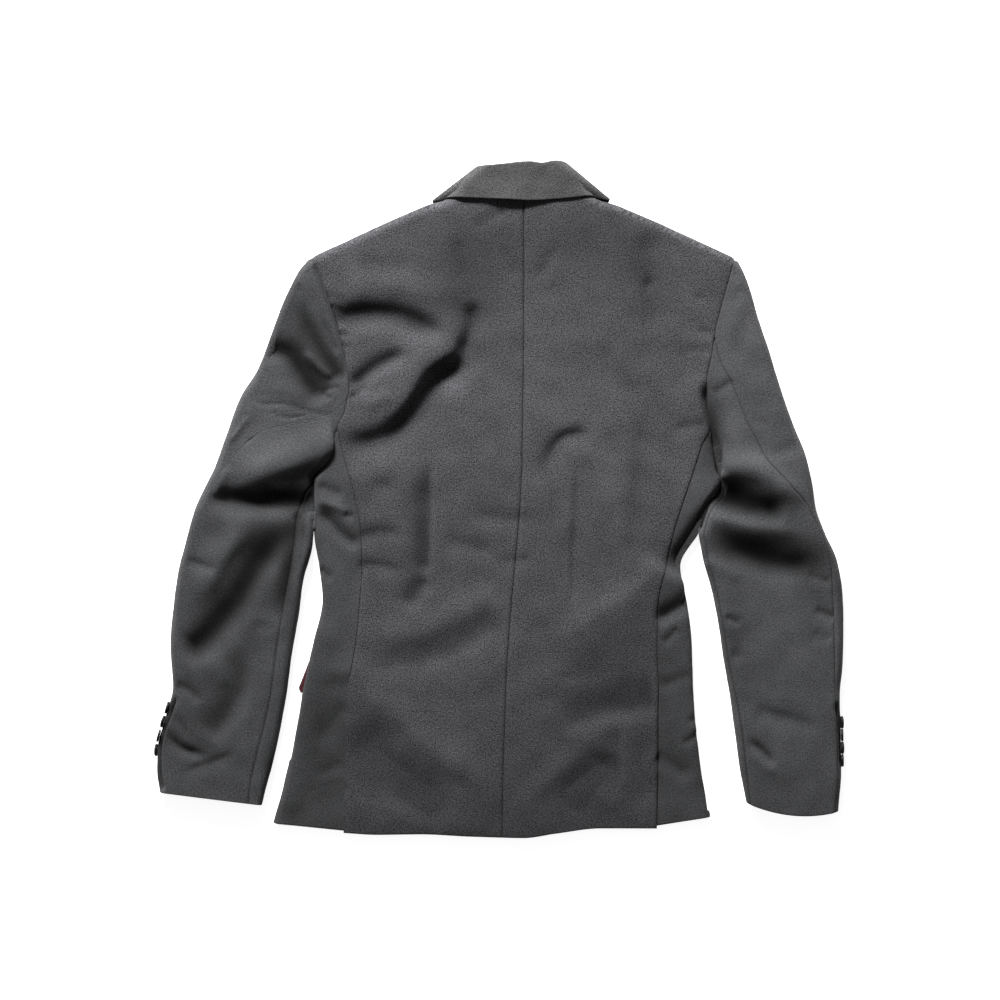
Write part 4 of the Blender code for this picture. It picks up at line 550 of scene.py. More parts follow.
def fullness(side, x, y, line, width):
    """1 on the flat of a layer, down to 0 where it turns over at the outline."""
    over_shoulder = bow((top_edge(x) - y) / np.hypot(1.0, slope_of(top_edge, x)), SHOULDER_ROUND)
    outer_slope = slope_of(lambda at: outer_edge(side, at), y)
    past_sleeve = bow(np.abs(x - outer_edge(side, y)) / np.hypot(1.0, outer_slope), ROUND)
    line_slope = slope_of(line, y)
    closing = 1.0 - ease((y - ARMPIT) / (ARMHOLE_FOOT - ARMPIT))
    at_line = 1.0 - closing * (1.0 - bow(np.abs(x - line(y)) / np.hypot(1.0, line_slope), width))
    return over_shoulder * past_sleeve * at_line


def layer_height(upper, height, base, full):
    """Height of a point on the upper or lower layer of a ring."""
    middle = EDGE_SHARE * height + (1.0 - EDGE_SHARE) * base
    return np.where(upper, middle + (height - middle) * full, middle - (middle - base) * full)


def body_round(side, y):
    """Width of the body edge's rounding, less where the laid body is thin."""
    thin = EDGE_SHARE * (body("side", y) - lift(body(side + "_edge", y), y))
    return np.clip(thin ** 2 / THIN, LEAST_ROUND, ROUND)


def body_point(side, x, y, upper, sink=0.0, raised=0.0):
    """A point of the body's ring, from its place in plan."""
    full = fullness(side, x, y, lambda at: outline(side, at), body_round(side, y))
    height = body_height(side, x, y) - sink
    return np.stack((x, y, layer_height(upper, height, lift(x, y) + raised, full)), axis=-1)


# Folds.

def smooth_path(points, steps=6):
    """A curve through given points: cubic pieces, whose slope at a point is half the chord between
    its neighbours."""
    points = np.array(points, dtype=float)
    padded = np.concatenate((2.0 * points[:1] - points[1:2], points, 2.0 * points[-1:] - points[-2:-1]))
    share = np.linspace(0.0, 1.0, steps, endpoint=False)[:, None]
    spans = []
    for before, start, end, after in zip(padded[:-3], padded[1:-2], padded[2:-1], padded[3:]):
        leave, arrive = (end - before) / 2.0, (after - start) / 2.0
        square, cube = share ** 2, share ** 3
        spans.append((2.0 * cube - 3.0 * square + 1.0) * start + (cube - 2.0 * square + share) * leave
                     + (3.0 * square - 2.0 * cube) * end + (cube - square) * arrive)
    return np.concatenate((*spans, points[-1:]))


def fold_relief(x, y, folds):
    """Height added by folds. Across its path a fold is exp(-|distance / fall-off| ** point), and along it
    it fades in and out."""
    total = np.zeros(x.shape)
    for points, left, right, height, point, fade_in, fade_out in folds:
        path = smooth_path(points)
        reach = FOLD_REACH * max(left, right)
        near = ((x > path[:, 0].min() - reach) & (x < path[:, 0].max() + reach)
                & (y > path[:, 1].min() - reach) & (y < path[:, 1].max() + reach))
        if not near.any():
            continue
        at_x, at_y = x[near], y[near]
        closest = np.full(at_x.shape, 1e9)
        share, signed = np.zeros(at_x.shape), np.zeros(at_x.shape)
        lengths = np.hypot(*np.diff(path, axis=0).T)
        travelled = np.concatenate(([0.0], np.cumsum(lengths)))
        for index, length in enumerate(lengths):
            way = (path[index + 1] - path[index]) / length
            gap_x, gap_y = at_x - path[index, 0], at_y - path[index, 1]
            along = np.clip(gap_x * way[0] + gap_y * way[1], 0.0, length)
            distance = np.hypot(gap_x - along * way[0], gap_y - along * way[1])
            nearer = distance < closest
            closest = np.where(nearer, distance, closest)
            share = np.where(nearer, (travelled[index] + along) / travelled[-1], share)
            signed = np.where(nearer, way[0] * gap_y - way[1] * gap_x, signed)
        fall_off = np.where(signed > 0.0, left, right)
        fade = ease(share / fade_in) * ease((1.0 - share) / fade_out)
        total[near] += height * fade * np.exp(-(closest / fall_off) ** point)
    return total


WAVE_LENGTHS = (150.0, 130.0, 95.0, 80.0, 62.0, 50.0, 41.0, 33.0)
WAVES = np.random.default_rng(7)
SWELLS = [(WAVES.uniform(0.0, TURN), length * WAVES.uniform(0.8, 1.25), WAVES.uniform(0.0, TURN))
          for length in WAVE_LENGTHS for _ in range(3)]


def swell(x, y):
    """Broad, faint unevenness of laid cloth: a sum of plane waves in all directions, about 1 high."""
    total = np.zeros(np.broadcast(x, y).shape)
    for turn, length, phase in SWELLS:
        along = x * math.cos(turn) + y * math.sin(turn)
        total += length / WAVE_LENGTHS[0] * np.sin(TURN * along / length + phase)
    return total / WAVE_SUM


# Shells.

def lengths_from_edges(points):
    """Surface length from each grid point to the left, right, top and bottom ends of its row and column."""
    along = np.linalg.norm(np.diff(points, axis=1), axis=-1)
    left = np.concatenate((np.zeros((len(points), 1)), np.cumsum(along, axis=1)), axis=1)
    down = np.linalg.norm(np.diff(points, axis=0), axis=-1)
    top = np.concatenate((np.zeros((1, points.shape[1])), np.cumsum(down, axis=0)), axis=0)
    return left, left[:, -1:] - left, top, top[-1:] - top


def grid_normals(surface, u, v, across, down, out):
    """Unit normals of a surface, from short chords inside its two ranges. out is 1 or -1."""
    step = 2e-4 * (across[-1] - across[0])
    drop = 2e-4 * (down[-1] - down[0])
    along = surface(np.minimum(u + step, across[-1]), v) - surface(np.maximum(u - step, across[0]), v)
    below = surface(u, np.minimum(v + drop, down[-1])) - surface(u, np.maximum(v - drop, down[0]))
    normal = np.cross(along, below)
    return out * normal / np.linalg.norm(normal, axis=-1, keepdims=True)


def painted_shading_at(x, y, patches):
    """Share of the cloth's own shade, from soft oval places of painted shade and light."""
    tone = np.ones(x.shape)
    for at_x, at_y, reach_x, reach_y, share in patches:
        tone *= 1.0 + (share - 1.0) * np.exp(-((x - at_x) / reach_x) ** 2 - ((y - at_y) / reach_y) ** 2)
    return tone


def shell(name, surface, across, down, out, finish, thick=OUTER_CLOTH, folds=(), seams=(0.0, 0.0, 0.0, 0.0),
          keep=None, grain=None, under=0.25, painted_patches=(), room=ROOM, rim_round=RIM_ROUND):
    """A closed thin shell on a form.

    The form is a surface over two parameters. Its outside moves out along the normal by the relief of the
    folds, goes down into a groove beside each sewn edge, and rounds off at its rim. The inside is the same
    surface one thickness further in. seams holds the groove's depth at the left, right, top and bottom,
    room the least height of the upper side, and under the unevenness of the lower side."""
    across, down = np.asarray(across, dtype=float), np.asarray(down, dtype=float)
    u, v = np.meshgrid(across, down)
    base = surface(u, v)
    x, y, z = base[..., 0], base[..., 1], base[..., 2]
    normal = grid_normals(surface, u, v, across, down, out)
    facing = ease(normal[..., 2] * FACING)
    folded = facing * fold_relief(x, y, folds)
    relief = np.where(normal[..., 2] > 0.0, np.maximum(folded + facing * swell(x, y), room - z), 0.0)
    relief = relief - under * (1.0 - facing) * (1.0 + np.clip(swell(3.0 * x, 3.0 * y), -1.0, 1.0))
    # Painted shade and light in the colour: the patches, times a painted shade at the foot of deep folds,
    # and below a painted shade in each seam's groove.
    tone = painted_shading_at(x, y, painted_patches) * (1.0 - HOLLOW_SHADE * np.clip(-folded / HOLLOW_DEPTH, 0.0, 1.0))
    edges = lengths_from_edges(base)
    for distance, depth in zip(edges, seams):
        beside = np.exp(-(distance / GROOVE_WIDTH) ** 2)
        relief = relief - depth * beside
        tone = tone * (1.0 - SEAM_SHADE * min(depth, 1.0) * beside)
    rounding = rim_round * thick * (1.0 - bow(np.minimum.reduce(edges), RIM))
    outer = base + normal * (relief - rounding)[..., None]
    inner = base + normal * (relief - thick + rounding)[..., None]
    cloth = base[..., :2] + base[..., 2:] if grain is None else np.stack(grain(u, v), axis=-1)
    return mesh_piece(name, outer, inner, keep, cloth, tone, finish)


def mesh_piece(name, outer, inner, keep, cloth, tone, finish):
    """A mesh from the outer and inner grids: both faces, and the rim between them round the kept cells."""
    rows, columns = outer.shape[:2]
    if keep is None:
        keep = np.ones((rows - 1, columns - 1), dtype=bool)
    index = np.arange(rows * columns).reshape(rows, columns)
    back = rows * columns
    corners = (index[:-1, :-1], index[:-1, 1:], index[1:, 1:], index[1:, :-1])
    a, b, c, d = (corner[keep] for corner in corners)
    faces = [np.stack((a, b, c, d), axis=-1), np.stack((d, c, b, a), axis=-1) + back]
    wide = np.zeros((rows + 1, columns + 1), dtype=bool)
    wide[1:-1, 1:-1] = keep
    for side, (drop, shift) in enumerate(((-1, 0), (0, 1), (1, 0), (0, -1))):
        rim = keep & ~wide[1 + drop:rows + drop, 1 + shift:columns + shift]
        start, end = corners[side][rim], corners[(side + 1) % 4][rim]
        faces.append(np.stack((end, start, start + back, end + back), axis=-1))
    faces = np.concatenate(faces)
    points = np.concatenate((outer.reshape(-1, 3), inner.reshape(-1, 3)))
    used, faces = np.unique(faces, return_inverse=True)
    faces = faces.reshape(-1, 4)
    flat = np.concatenate((cloth.reshape(-1, 2), cloth.reshape(-1, 2)))[used]
    shade = np.concatenate((tone.ravel(), tone.ravel()))[used]
    return add_mesh(name, points[used], faces, finish, flat, shade)


def link_object(name, data):
    """An object of the scene from its mesh, light or camera."""
    thing = bpy.data.objects.new(name, data)
    bpy.context.scene.collection.objects.link(thing)
    return thing


def smooth_object(mesh, finish, sharp):
    """An object from a mesh, smooth apart from edges sharper than an angle in degrees."""
    mesh.shade_smooth()
    mesh.set_sharp_from_angle(angle=math.radians(sharp))
    mesh.materials.append(finish.material)
    return link_object(mesh.name, mesh)


def facing_out(points, faces):
    """The faces with their outsides out, whichever way round they were made."""
    corners = points[faces]
    first, second = (np.einsum("ij,ij->i", corners[:, 0], np.cross(corners[:, a], corners[:, b]))
                     for a, b in ((1, 2), (2, -1)))
    return faces if (first + second).sum() > 0.0 else faces[:, ::-1]


def add_mesh(name, points, faces, finish, cloth, tone):
    """A mesh object from points in millimetres and faces of four corners, with its cloth plan as UV map."""
    faces = facing_out(points, faces)
    mesh = bpy.data.meshes.new(name)
    mesh.vertices.add(len(points))
    mesh.vertices.foreach_set("co", (points * MM).astype(np.float32).ravel())
    count = faces.shape[1]
    mesh.loops.add(faces.size)
    mesh.loops.foreach_set("vertex_index", faces.ravel().astype(np.int32))
    mesh.polygons.add(len(faces))
    mesh.polygons.foreach_set("loop_start", np.arange(0, faces.size, count, dtype=np.int32))
    mesh.polygons.foreach_set("loop_total", np.full(len(faces), count, dtype=np.int32))
    mesh.update(calc_edges=True)
    layer = mesh.uv_layers.new(name="cloth")
    layer.data.foreach_set("uv", (cloth[faces.ravel()] * MM).astype(np.float32).ravel())
    # The painted shade and light, as a point attribute that the finish reads.
    mesh.attributes.new("tone", "FLOAT", "POINT").data.foreach_set("value", tone.astype(np.float32))
    return smooth_object(mesh, finish, 60.0)


def declare(piece, node):
    """Attaches a piece to the root, and hides the solid part that it stands for."""
    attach(piece, "root")
    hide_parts(node)


def lay(piece, node):
    """Attaches a piece of cloth to the root, and hides the solid part that it stands for."""
    declare(piece, node)


# Panels of the body.

def flat_patch(left, right, top, bottom):
    """Plan of a panel between four edges, each a function of its share from 0 to 1: the sum of the two
    ruled plans between facing edges, less the plan ruled between the corners."""
    def plan(u, v):
        ruled = mix(left(v), right(v), u[..., None]) + mix(top(u), bottom(u), v[..., None])
        ends_top = mix(left(v * 0.0), right(v * 0.0), u[..., None])
        ends_bottom = mix(left(v * 0.0 + 1.0), right(v * 0.0 + 1.0), u[..., None])
        return ruled - mix(ends_top, ends_bottom, v[..., None])
    return plan


def spaced(start, end, count, crowd=(0.12, 0.4)):
    """Even stations with two extra ones close to each end, for a rounded rim."""
    even = np.linspace(start, end, count)
    step = even[1] - even[0]
    extra = [start + step * part for part in crowd] + [end - step * part for part in crowd]
    return np.sort(np.concatenate((even, extra)))


def shoulder_tip(side):
    """y of a panel's corner where the armhole meets the shoulder line."""
    return float(top_edge(outline(side, SHOULDER_TIP))) - SHOULDER_INSET


def panel_rows(tip, end):
    """Shares of fine rows: closer where the shoulder turns over, even below."""
    turn = np.linspace(0.0, QUARTER, 9)[1:]
    start = tip - SHOULDER_ROUND
    even = np.linspace(start, end, int((start - end) / ROW) + 1)
    last = even[-1] + (even[-2] - even[-1]) * np.array([0.12, 0.4])
    rows = np.unique(np.concatenate(([tip], tip - SHOULDER_ROUND * (1.0 - np.cos(turn)), even, last)))[::-1]
    return (tip - rows) / (tip - end)


def seam_end(side, layer, tip, hem_y):
    """The outer end of a body panel's rows, half a seam inside the line that it shares."""
    def end(v):
        y = mix(tip, hem_y, v)
        return pair(body(side + layer, y) - SIDES[side] * SEAM / 2.0, y)
    return end


def neck_y(x):
    """y of the back's edge under the collar."""
    return glide(NECK_SEAM["x"], NECK_SEAM["y"], x) - NECK_TUCK


def make_back(side, finish):
    """Half of the back: a patch between the centre seam, the armhole and side seam, the neck and
    shoulder line, and the hem."""
    sign = SIDES[side]
    hem_x = BACK_HEM["x"][-1] if sign > 0 else BACK_HEM["x"][0]
    hem_y = float(glide(BACK_HEM["x"], BACK_HEM["y"], hem_x))
    neck_x = NECK_SEAM["x"][0] if sign < 0 else NECK_SEAM["x"][-1]
    tip = shoulder_tip(side)
    outside = seam_end(side, "_back", tip, hem_y)

    def centre(v):
        y = mix(neck_y(NECK_X), glide(BACK_HEM["x"], BACK_HEM["y"], HEM_X), v)
        return pair(body("centre", y) + sign * CENTRE_SEAM / 2.0, y)

    def above(u):
        past = mix(neck_x, outside(0.0 * u)[..., 0], (u - NECK_SHARE) / (1.0 - NECK_SHARE))
        x = np.where(u < NECK_SHARE, mix(NECK_X, neck_x, u / NECK_SHARE), past)
        shoulder = np.minimum(top_edge(x), neck_y(neck_x)) - SHOULDER_INSET
        return pair(x, np.where(u < NECK_SHARE, neck_y(x), shoulder))

    def below(u):
        x = mix(centre(1.0 + 0.0 * u)[..., 0], outside(1.0 + 0.0 * u)[..., 0], u)
        return pair(x, glide(BACK_HEM["x"], BACK_HEM["y"], x))
    plan = flat_patch(centre, outside, above, below)

    def surface(u, v):
        place = plan(u, v)
        return body_point(side, place[..., 0], place[..., 1], True)
    across = spaced(0.0, 1.0, int(HALF_BACK / ROW))
    piece = shell("back_" + side + "_cloth", surface, across, panel_rows(tip, hem_y), -sign, finish,
                  folds=BACK_FOLDS + SIDE_FOLDS, seams=(GROOVE, GROOVE, 0.0, 0.0), painted_patches=BODY_PAINTED_SHADING)
    lay(piece, "back_" + side)


def make_front(side, finish):
    """A front: the lower layer of the body, lifted where it lies on other pieces."""
    sign = SIDES[side]
    hem_y = SIDE_HEM[side]["front"]
    shares = np.linspace(0.0, 1.0, len(FRONT_EDGE["y"]))
    tip = shoulder_tip(side)
    outside = seam_end(side, "_front", tip, hem_y)

    def edge(v):
        share = glide(-FRONT_EDGE["y"], shares, -mix(FRONT_EDGE["y"][0], FRONT_EDGE["y"][-1], v))
        return pair(glide(shares, FRONT_EDGE[side], share), glide(shares, FRONT_EDGE["y"], share))

    def above(u):
        x = mix(FRONT_EDGE[side][0], outside(0.0 * u)[..., 0], u)
        return pair(x, np.minimum(top_edge(x), FRONT_EDGE["y"][0]) - SHOULDER_INSET)

    def below(u):
        x = mix(FRONT_EDGE[side][-1], outside(1.0 + 0.0 * u)[..., 0], u)
        return pair(x, mix(FRONT_EDGE["y"][-1], hem_y, u))
    plan = flat_patch(edge, outside, above, below)

    def surface(u, v):
        place = plan(u, v)
        x, y = place[..., 0], place[..., 1]
        lap = glide(FRONT_EDGE["y"], FRONT_EDGE["left"], y)
        raised = LAP_RISE * ease((lap + LAP_EASE - x) / RAMP + 1.0) if side == "right" else 0.0
        return body_point(side, x, y, False, raised=raised)
    rows = panel_rows(tip, hem_y)
    coarse = np.concatenate((rows[:10], rows[10:-4:2], rows[-4:]))
    across = spaced(0.0, 1.0, int(HALF_FRONT / COARSE))
    piece = shell("front_" + side + "_cloth", surface, across, coarse, sign, finish, thick=FRONT_CLOTH,
                  seams=(0.0, LOW_GROOVE, 0.0, 0.0), under=0.0)
    lay(piece, "front_" + side)


def turned_over(length, radius):
    """Plan distance over the radius, at a length along a rounding from its edge."""
    return 1.0 - np.cos(np.clip(length / radius, 0.0, QUARTER))


def arc_length(width, turn_width):
    """Length of a layer's surface across its plan width, with a rounded edge at one end."""
    return width + (QUARTER - 1.0) * turn_width


def arc_plan(length, turn_width):
    """Plan distance from a rounded edge, at a length along the surface from it."""
    return turn_width * turned_over(length, turn_width) + np.maximum(length - turn_width * QUARTER, 0.0)


def side_panel(side):
    """Surface of a side panel: its upper leg, the folded edge and its lower leg.

    u runs from the back seam at 0 to the front seam at 1, and below 0 under the back beside the vent.
    v runs from the armhole at 0 to the armpit's foot at 1, down the side to 2, and to the hem at 3."""
    sign = SIDES[side]
    legs = {True: {"seam": side + "_back", "start": ARMHOLE_FOOT - BACK_DROP},
            False: {"seam": side + "_front", "start": FRONT_FOOT - FRONT_DROP}}

    def seam_reach(upper, y):
        return np.abs(body(legs[upper]["seam"], y) - side_line(side, y)) - SEAM * (0.5 if upper else 0.9)

    def leg(upper, share, v):
        """Distance from the body's outline and y, at a share of the leg from its seam."""
        start = legs[upper]["start"]
        armhole_y = mix(start, ARMPIT, np.clip((share - SIDE_CORNER) / (1.0 - SIDE_CORNER), 0.0, 1.0))
        armhole = np.abs(outline(side, armhole_y) - side_line(side, armhole_y))
        armhole = mix(seam_reach(upper, armhole_y), armhole, np.clip(share / SIDE_CORNER, 0.0, 1.0))
        hem = SIDE_HEM[side]
        hem_y = mix(hem["back" if upper else "front"], hem["edge"], share)
        first = np.clip(v, 0.0, 1.0)
        below = mix(mix(BLEND, LAST_ROW, np.clip(v - 1.0, 0.0, 1.0)), hem_y, np.clip(v - 2.0, 0.0, 1.0))
        y = np.where(v < 1.0, mix(armhole_y, BLEND, first), below)
        row_y = np.minimum(y, BLEND)
        turn_width = body_round(side, row_y)
        row = arc_plan((1.0 - share) * arc_length(seam_reach(upper, row_y), turn_width), turn_width)
        bend_in = seam_reach(upper, y) - mix(seam_reach(upper, start), seam_reach(upper, BLEND),
                                             (start - y) / (start - BLEND))
        upper_part = mix(armhole, row, first) + (1.0 - share) * bend_in
        return np.where(v < 1.0, upper_part, row), y

    def surface(u, v):
        upper = u <= SIDE_EDGE
        share = np.where(upper, u / SIDE_EDGE, (1.0 - u) / (1.0 - SIDE_EDGE))
        over, over_y = leg(True, np.clip(share, 0.0, 1.0), v)
        under, under_y = leg(False, np.clip(share, 0.0, 1.0), v)
        reach, y = np.where(upper, over, under), np.where(upper, over_y, under_y)
        x = side_line(side, y) - sign * (reach + UNDERLAP * np.clip(-u, 0.0, 1.0))
        below_vent = ease((VENT_TOP + VENT_RAMP - y) / (VENT_RAMP - 3.0))
        sink = PLY * below_vent * ease((reach - SINK_START) / SINK_RAMP)
        return body_point(side, x, y, upper, sink=sink)
    return surface


def make_side(side, finish):
    """A side panel, with the strip under the back kept only beside the vent."""
    flap = np.linspace(-1.0, 0.0, 13)[:-1]
    across = np.concatenate((flap, spaced(0.0, SIDE_EDGE, 26, ()), spaced(SIDE_EDGE, 1.0, 20, ())[1:]))
    across = np.sort(np.concatenate((across, [0.002, 0.008, 0.992, 0.998])))
    straight = int((BLEND - LAST_ROW) / ROW)
    down = np.concatenate((spaced(0.0, 1.0, 26, (0.3,))[:-1], np.linspace(1.0, 2.0, straight)[:-1],
                           spaced(2.0, 3.0, 13, (0.12, 0.4))))
    down = np.unique(down)
    vent = 1.0 + (BLEND - VENT_TOP) / (BLEND - LAST_ROW)
    keep = np.ones((len(down) - 1, len(across) - 1), dtype=bool)
    keep[:int(np.searchsorted(down, vent)), :len(flap)] = False
    piece = shell("side_" + side + "_cloth", side_panel(side), across, down, -SIDES[side], finish,
                  folds=BACK_FOLDS + SIDE_FOLDS, seams=(0.0, LOW_GROOVE, GROOVE, 0.0), keep=keep,
                  painted_patches=BODY_PAINTED_SHADING)
    lay(piece, "side_" + side)


# Sleeves.

def sleeve_row(side, v):
    """The named sizes of a sleeve row, at a share of the way down the sleeve."""
    rows = SLEEVES[side]
    knots = np.linspace(0.0, 1.0, len(rows["height"]))
    found = {name: glide(knots, rows[name], v) for name in rows if name not in ("outer_x", "inner_x")}
    sign = SIDES[side]
    found["outer_x"] = outer_edge(side, found["outer_y"])
    touching = ease((found["inner_y"] - TOUCH_END) / TOUCH_FADE)
    found["inner_x"] = inner_edge(side, found["inner_y"]) + sign * (SEAM * 0.5 - TUCK * touching)
    found["forearm"] = found["forearm"] * ease((ARMPIT - found["inner_y"]) / FOREARM_FADE)
    found["width"] = np.hypot(found["outer_x"] - found["inner_x"], found["outer_y"] - found["inner_y"])
    found["turn"] = np.minimum(ROUND, 0.45 * found["width"])
    found["length"] = found["width"] + (math.pi - 2.0) * found["turn"]
    return found


def row_length(row, distance):
    """Surface length from the outer edge to a plan distance from it."""
    turn, width = row["turn"], row["width"]
    near = turn * np.arccos(np.clip(1.0 - distance / turn, 0.0, 1.0))
    far = row["length"] - turn * np.arccos(np.clip(1.0 - (width - distance) / turn, 0.0, 1.0))
    middle = distance + (QUARTER - 1.0) * turn
    return np.where(distance < turn, near, np.where(distance > width - turn, far, middle))


def sleeve_point(side, row, along):
    """A point of the sleeve's ring. along is 0 at the outer edge, less on the upper layer and more on
    the lower one, and past the row's length it is on the upper layer again, round the inner edge."""
    sign = SIDES[side]
    turn, width, length = row["turn"], row["width"], row["length"]
    upper = (along < 0.0) | (along > length + 1e-6)
    folded = np.where(along > length, 2.0 * length - along, np.abs(along))
    near, far = turn * turned_over(folded, turn), turn * turned_over(length - folded, turn)
    level = np.clip(folded - turn * QUARTER, 0.0, width - 2.0 * turn)
    share = np.clip((near + level + turn - far) / width, 0.0, 1.0)
    x = mix(row["outer_x"], row["inner_x"], share)
    y = mix(row["outer_y"], row["inner_y"], share) - 4.0 * row["sag"] * share * (1.0 - share)
    full = fullness(side, x, y, lambda at: inner_edge(side, at) + sign * SEAM / 2.0, ROUND)
    shoulder = body("side", np.maximum(y, ARMPIT))
    at_body = mix(shoulder, row["height"], ease((ARMPIT - y) / SHOULDER_FADE))
    height = mix(at_body, row["height"], ease((1.0 - share) / AT_BODY))
    return np.stack((x, y, layer_height(upper, height, 0.0, full)), axis=-1)


def seam_lengths(side, v):
    """Surface lengths round a row: of the hind-arm seam, the strip past the inner edge, and the row."""
    row = sleeve_row(side, v)
    hind = row_length(row, (1.0 - row["hind"]) * row["width"])
    strip = row["length"] - row_length(row, row["width"] * (1.0 - row["forearm"]))
    return row, hind, strip


def make_sleeve(side, finish):
    """A top sleeve, from the hind-arm seam round both edges to the forearm seam, and the under sleeve
    between those seams."""
    sign = SIDES[side]
    folds = LEFT_SLEEVE_FOLDS if side == "left" else RIGHT_SLEEVE_FOLDS
    painted_patches = LEFT_SLEEVE_PAINTED_SHADING if side == "left" else RIGHT_SLEEVE_PAINTED_SHADING
    groove, rim_round = (SOFT_GROOVE, SOFT_RIM) if side == "left" else (GROOVE, RIM_ROUND)

    def top_along(u, v):
        row, hind, strip = seam_lengths(side, v)
        sewn = ease(row["hind"] * row["width"] / SEWN_WIDTH)
        start = -hind + sewn * SEAM / 2.0
        end = row["length"] + np.maximum(strip - SEAM / 2.0, 0.0)
        over = mix(start, 0.0, u / OUTER_SHARE)
        under = mix(0.0, end, (u - OUTER_SHARE) / (1.0 - OUTER_SHARE))
        return row, np.where(u < OUTER_SHARE, over, under)

    def under_along(u, v):
        row, hind, strip = seam_lengths(side, v)
        return row, mix(-row["length"] + strip + SEAM, -hind - SEAM, u)

    def grain_of(along_of):
        return lambda u, v: (along_of(u, v)[1], sleeve_row(side, v)["outer_y"])
    rows = spaced(0.0, 1.0, int(SLEEVE_LENGTH / ROW))
    over = spaced(0.0, OUTER_SHARE, 56, (0.1, 0.35))
    low = np.linspace(OUTER_SHARE, 1.0, 74)[1:]
    across = np.concatenate((over, low, 1.0 - np.array([0.0008, 0.003])))
    piece = shell("top_sleeve_" + side + "_cloth", lambda u, v: sleeve_point(side, *top_along(u, v)),
                  np.unique(across), rows, -sign, finish, folds=folds, painted_patches=painted_patches,
                  seams=(groove / 2.0, GROOVE, 0.0, 0.0), grain=grain_of(top_along), rim_round=rim_round)
    lay(piece, "top_sleeve_" + side)
    fine = np.linspace(0.0, 1.0, 4001)
    found = sleeve_row(side, fine)
    first = float(fine[np.argmax(found["hind"] * found["width"] > LEAST_STRIP)])
    below = spaced(first, 1.0, int((1.0 - first) * SLEEVE_LENGTH / ROW))
    piece = shell("under_sleeve_" + side + "_cloth", lambda u, v: sleeve_point(side, *under_along(u, v)),
                  spaced(0.0, 1.0, 54), below, -sign, finish, folds=folds, painted_patches=painted_patches,
                  seams=(GROOVE, groove / 2.0, groove, 0.0), grain=grain_of(under_along),
                  rim_round=rim_round)
    lay(piece, "under_sleeve_" + side)


# Collar.

FRONT_WAY = np.array((0.48, -0.88))   # plan direction of the collar's front ends, on the left


def neck_side(roll, foot, end, turn):
    """The upper and lower end of the line at one side of the neck, and its unit normal inwards."""
    upper, lower = (np.array((line["x"][end], line["y"][end])) for line in (roll, foot))
    way = lower - upper
    return upper, lower, turn * np.array((-way[1], way[0])) / np.linalg.norm(way)


def neck_ring(roll, foot, reach, direction):
    """Plan and fold of a ring round the neck, between its roll line and its foot.

    Its place runs from -1 at the left front's end to 0 at the side of the neck, 1 where the back layer
    is flat, 2 where it turns down again, 3 at the right side of the neck and 4 at the other end."""
    left_0, left_1, left_in = neck_side(roll, foot, 0, 1.0)
    right_0, right_1, right_in = neck_side(roll, foot, -1, -1.0)

    def place(step, down):
        left_x, right_x = mix(left_0[0], left_1[0], down), mix(right_0[0], right_1[0], down)
        width = right_x - left_x
        left_turn, right_turn = ROUND / abs(left_in[0]), ROUND / abs(right_in[0])
        length = width - left_turn - right_turn + math.pi * ROUND
        turned = ROUND * QUARTER
        side_reach = reach + (QUARTER - 1.0) * ROUND
        along = side_reach * np.minimum(step, 0.0) + turned * np.clip(step, 0.0, 1.0)
        along = along + (length - 2.0 * turned) * np.clip(step - 1.0, 0.0, 1.0)
        along = along + turned * np.clip(step - 2.0, 0.0, 1.0) + side_reach * np.maximum(step - 3.0, 0.0)
        upper = (along > 0.0) & (along < length)
        near, far = turned_over(along, ROUND) * left_turn, turned_over(length - along, ROUND) * right_turn
        level = np.clip(along - turned, 0.0, width - left_turn - right_turn)
        share = np.clip((near + level + right_turn - far) / width, 0.0, 1.0)
        roll_x, foot_x = mix(left_0[0], right_0[0], share), mix(left_1[0], right_1[0], share)
        x = mix(roll_x, foot_x, down)
        y = mix(glide(roll["x"], roll["y"], roll_x), glide(foot["x"], foot["y"], foot_x), down)
        past_left = arc_plan(np.maximum(-along, 0.0), ROUND)
        past_right = arc_plan(np.maximum(along - length, 0.0), ROUND)
        x = x + direction[0] * past_left - direction[0] * past_right
        y = y + direction[1] * (past_left + past_right)
        left_gap = (x - left_0[0]) * left_in[0] + (y - left_0[1]) * left_in[1]
        right_gap = (x - right_0[0]) * right_in[0] + (y - right_0[1]) * right_in[1]
        gap = np.where(along < length / 2.0, left_gap, right_gap)
        return x, y, upper, bow(np.maximum(gap, 0.0), ROUND)
    return place


def stand_surface(u, v):
    """The collar stand, which follows the back's height."""
    x, y, upper, full = neck_ring(STAND_ROLL, NECK_SEAM, STAND_REACH, FRONT_WAY)(u, v)
    height = body_height("left", x, y)
    return np.stack((x, y, layer_height(upper, height, REST_LIFT, full)), axis=-1)


def fall_surface(u, v):
    """The inner face of the collar leaf. Its free edge stands a little off the back between the
    shoulders, and comes down onto it towards both ends."""
    x, y, upper, full = neck_ring(ROLL, LEAF, FALL_REACH, FRONT_WAY)(u, v)
    down = np.clip(v, 0.0, 1.0)
    spring = down ** 2 * sum(high * np.exp(-((x - at) / reach) ** 2) for high, at, reach in SPRINGS)
    height = body_height("left", x, y) + GAP + spring
    middle = EDGE_SHARE * height + (1.0 - EDGE_SHARE) * REST_LIFT
    z = np.where(upper, middle + (height - middle) * full, middle - (middle - CLOTH) * full)
    left, right = (body_point(side, x, y, True)[..., 2] for side in SIDES)
    snug = np.where(upper, np.minimum(z, np.where(x < 0.0, left, right) + GAP + spring + SNUG_CLEAR), z)
    from_ends = np.minimum(np.abs(x - LEAF["x"][0]), np.abs(x - LEAF["x"][-1]))
    return np.stack((x, y, mix(z, snug, down ** 1.5 * (1.0 - ease(from_ends / SNUG_REACH)))), axis=-1)


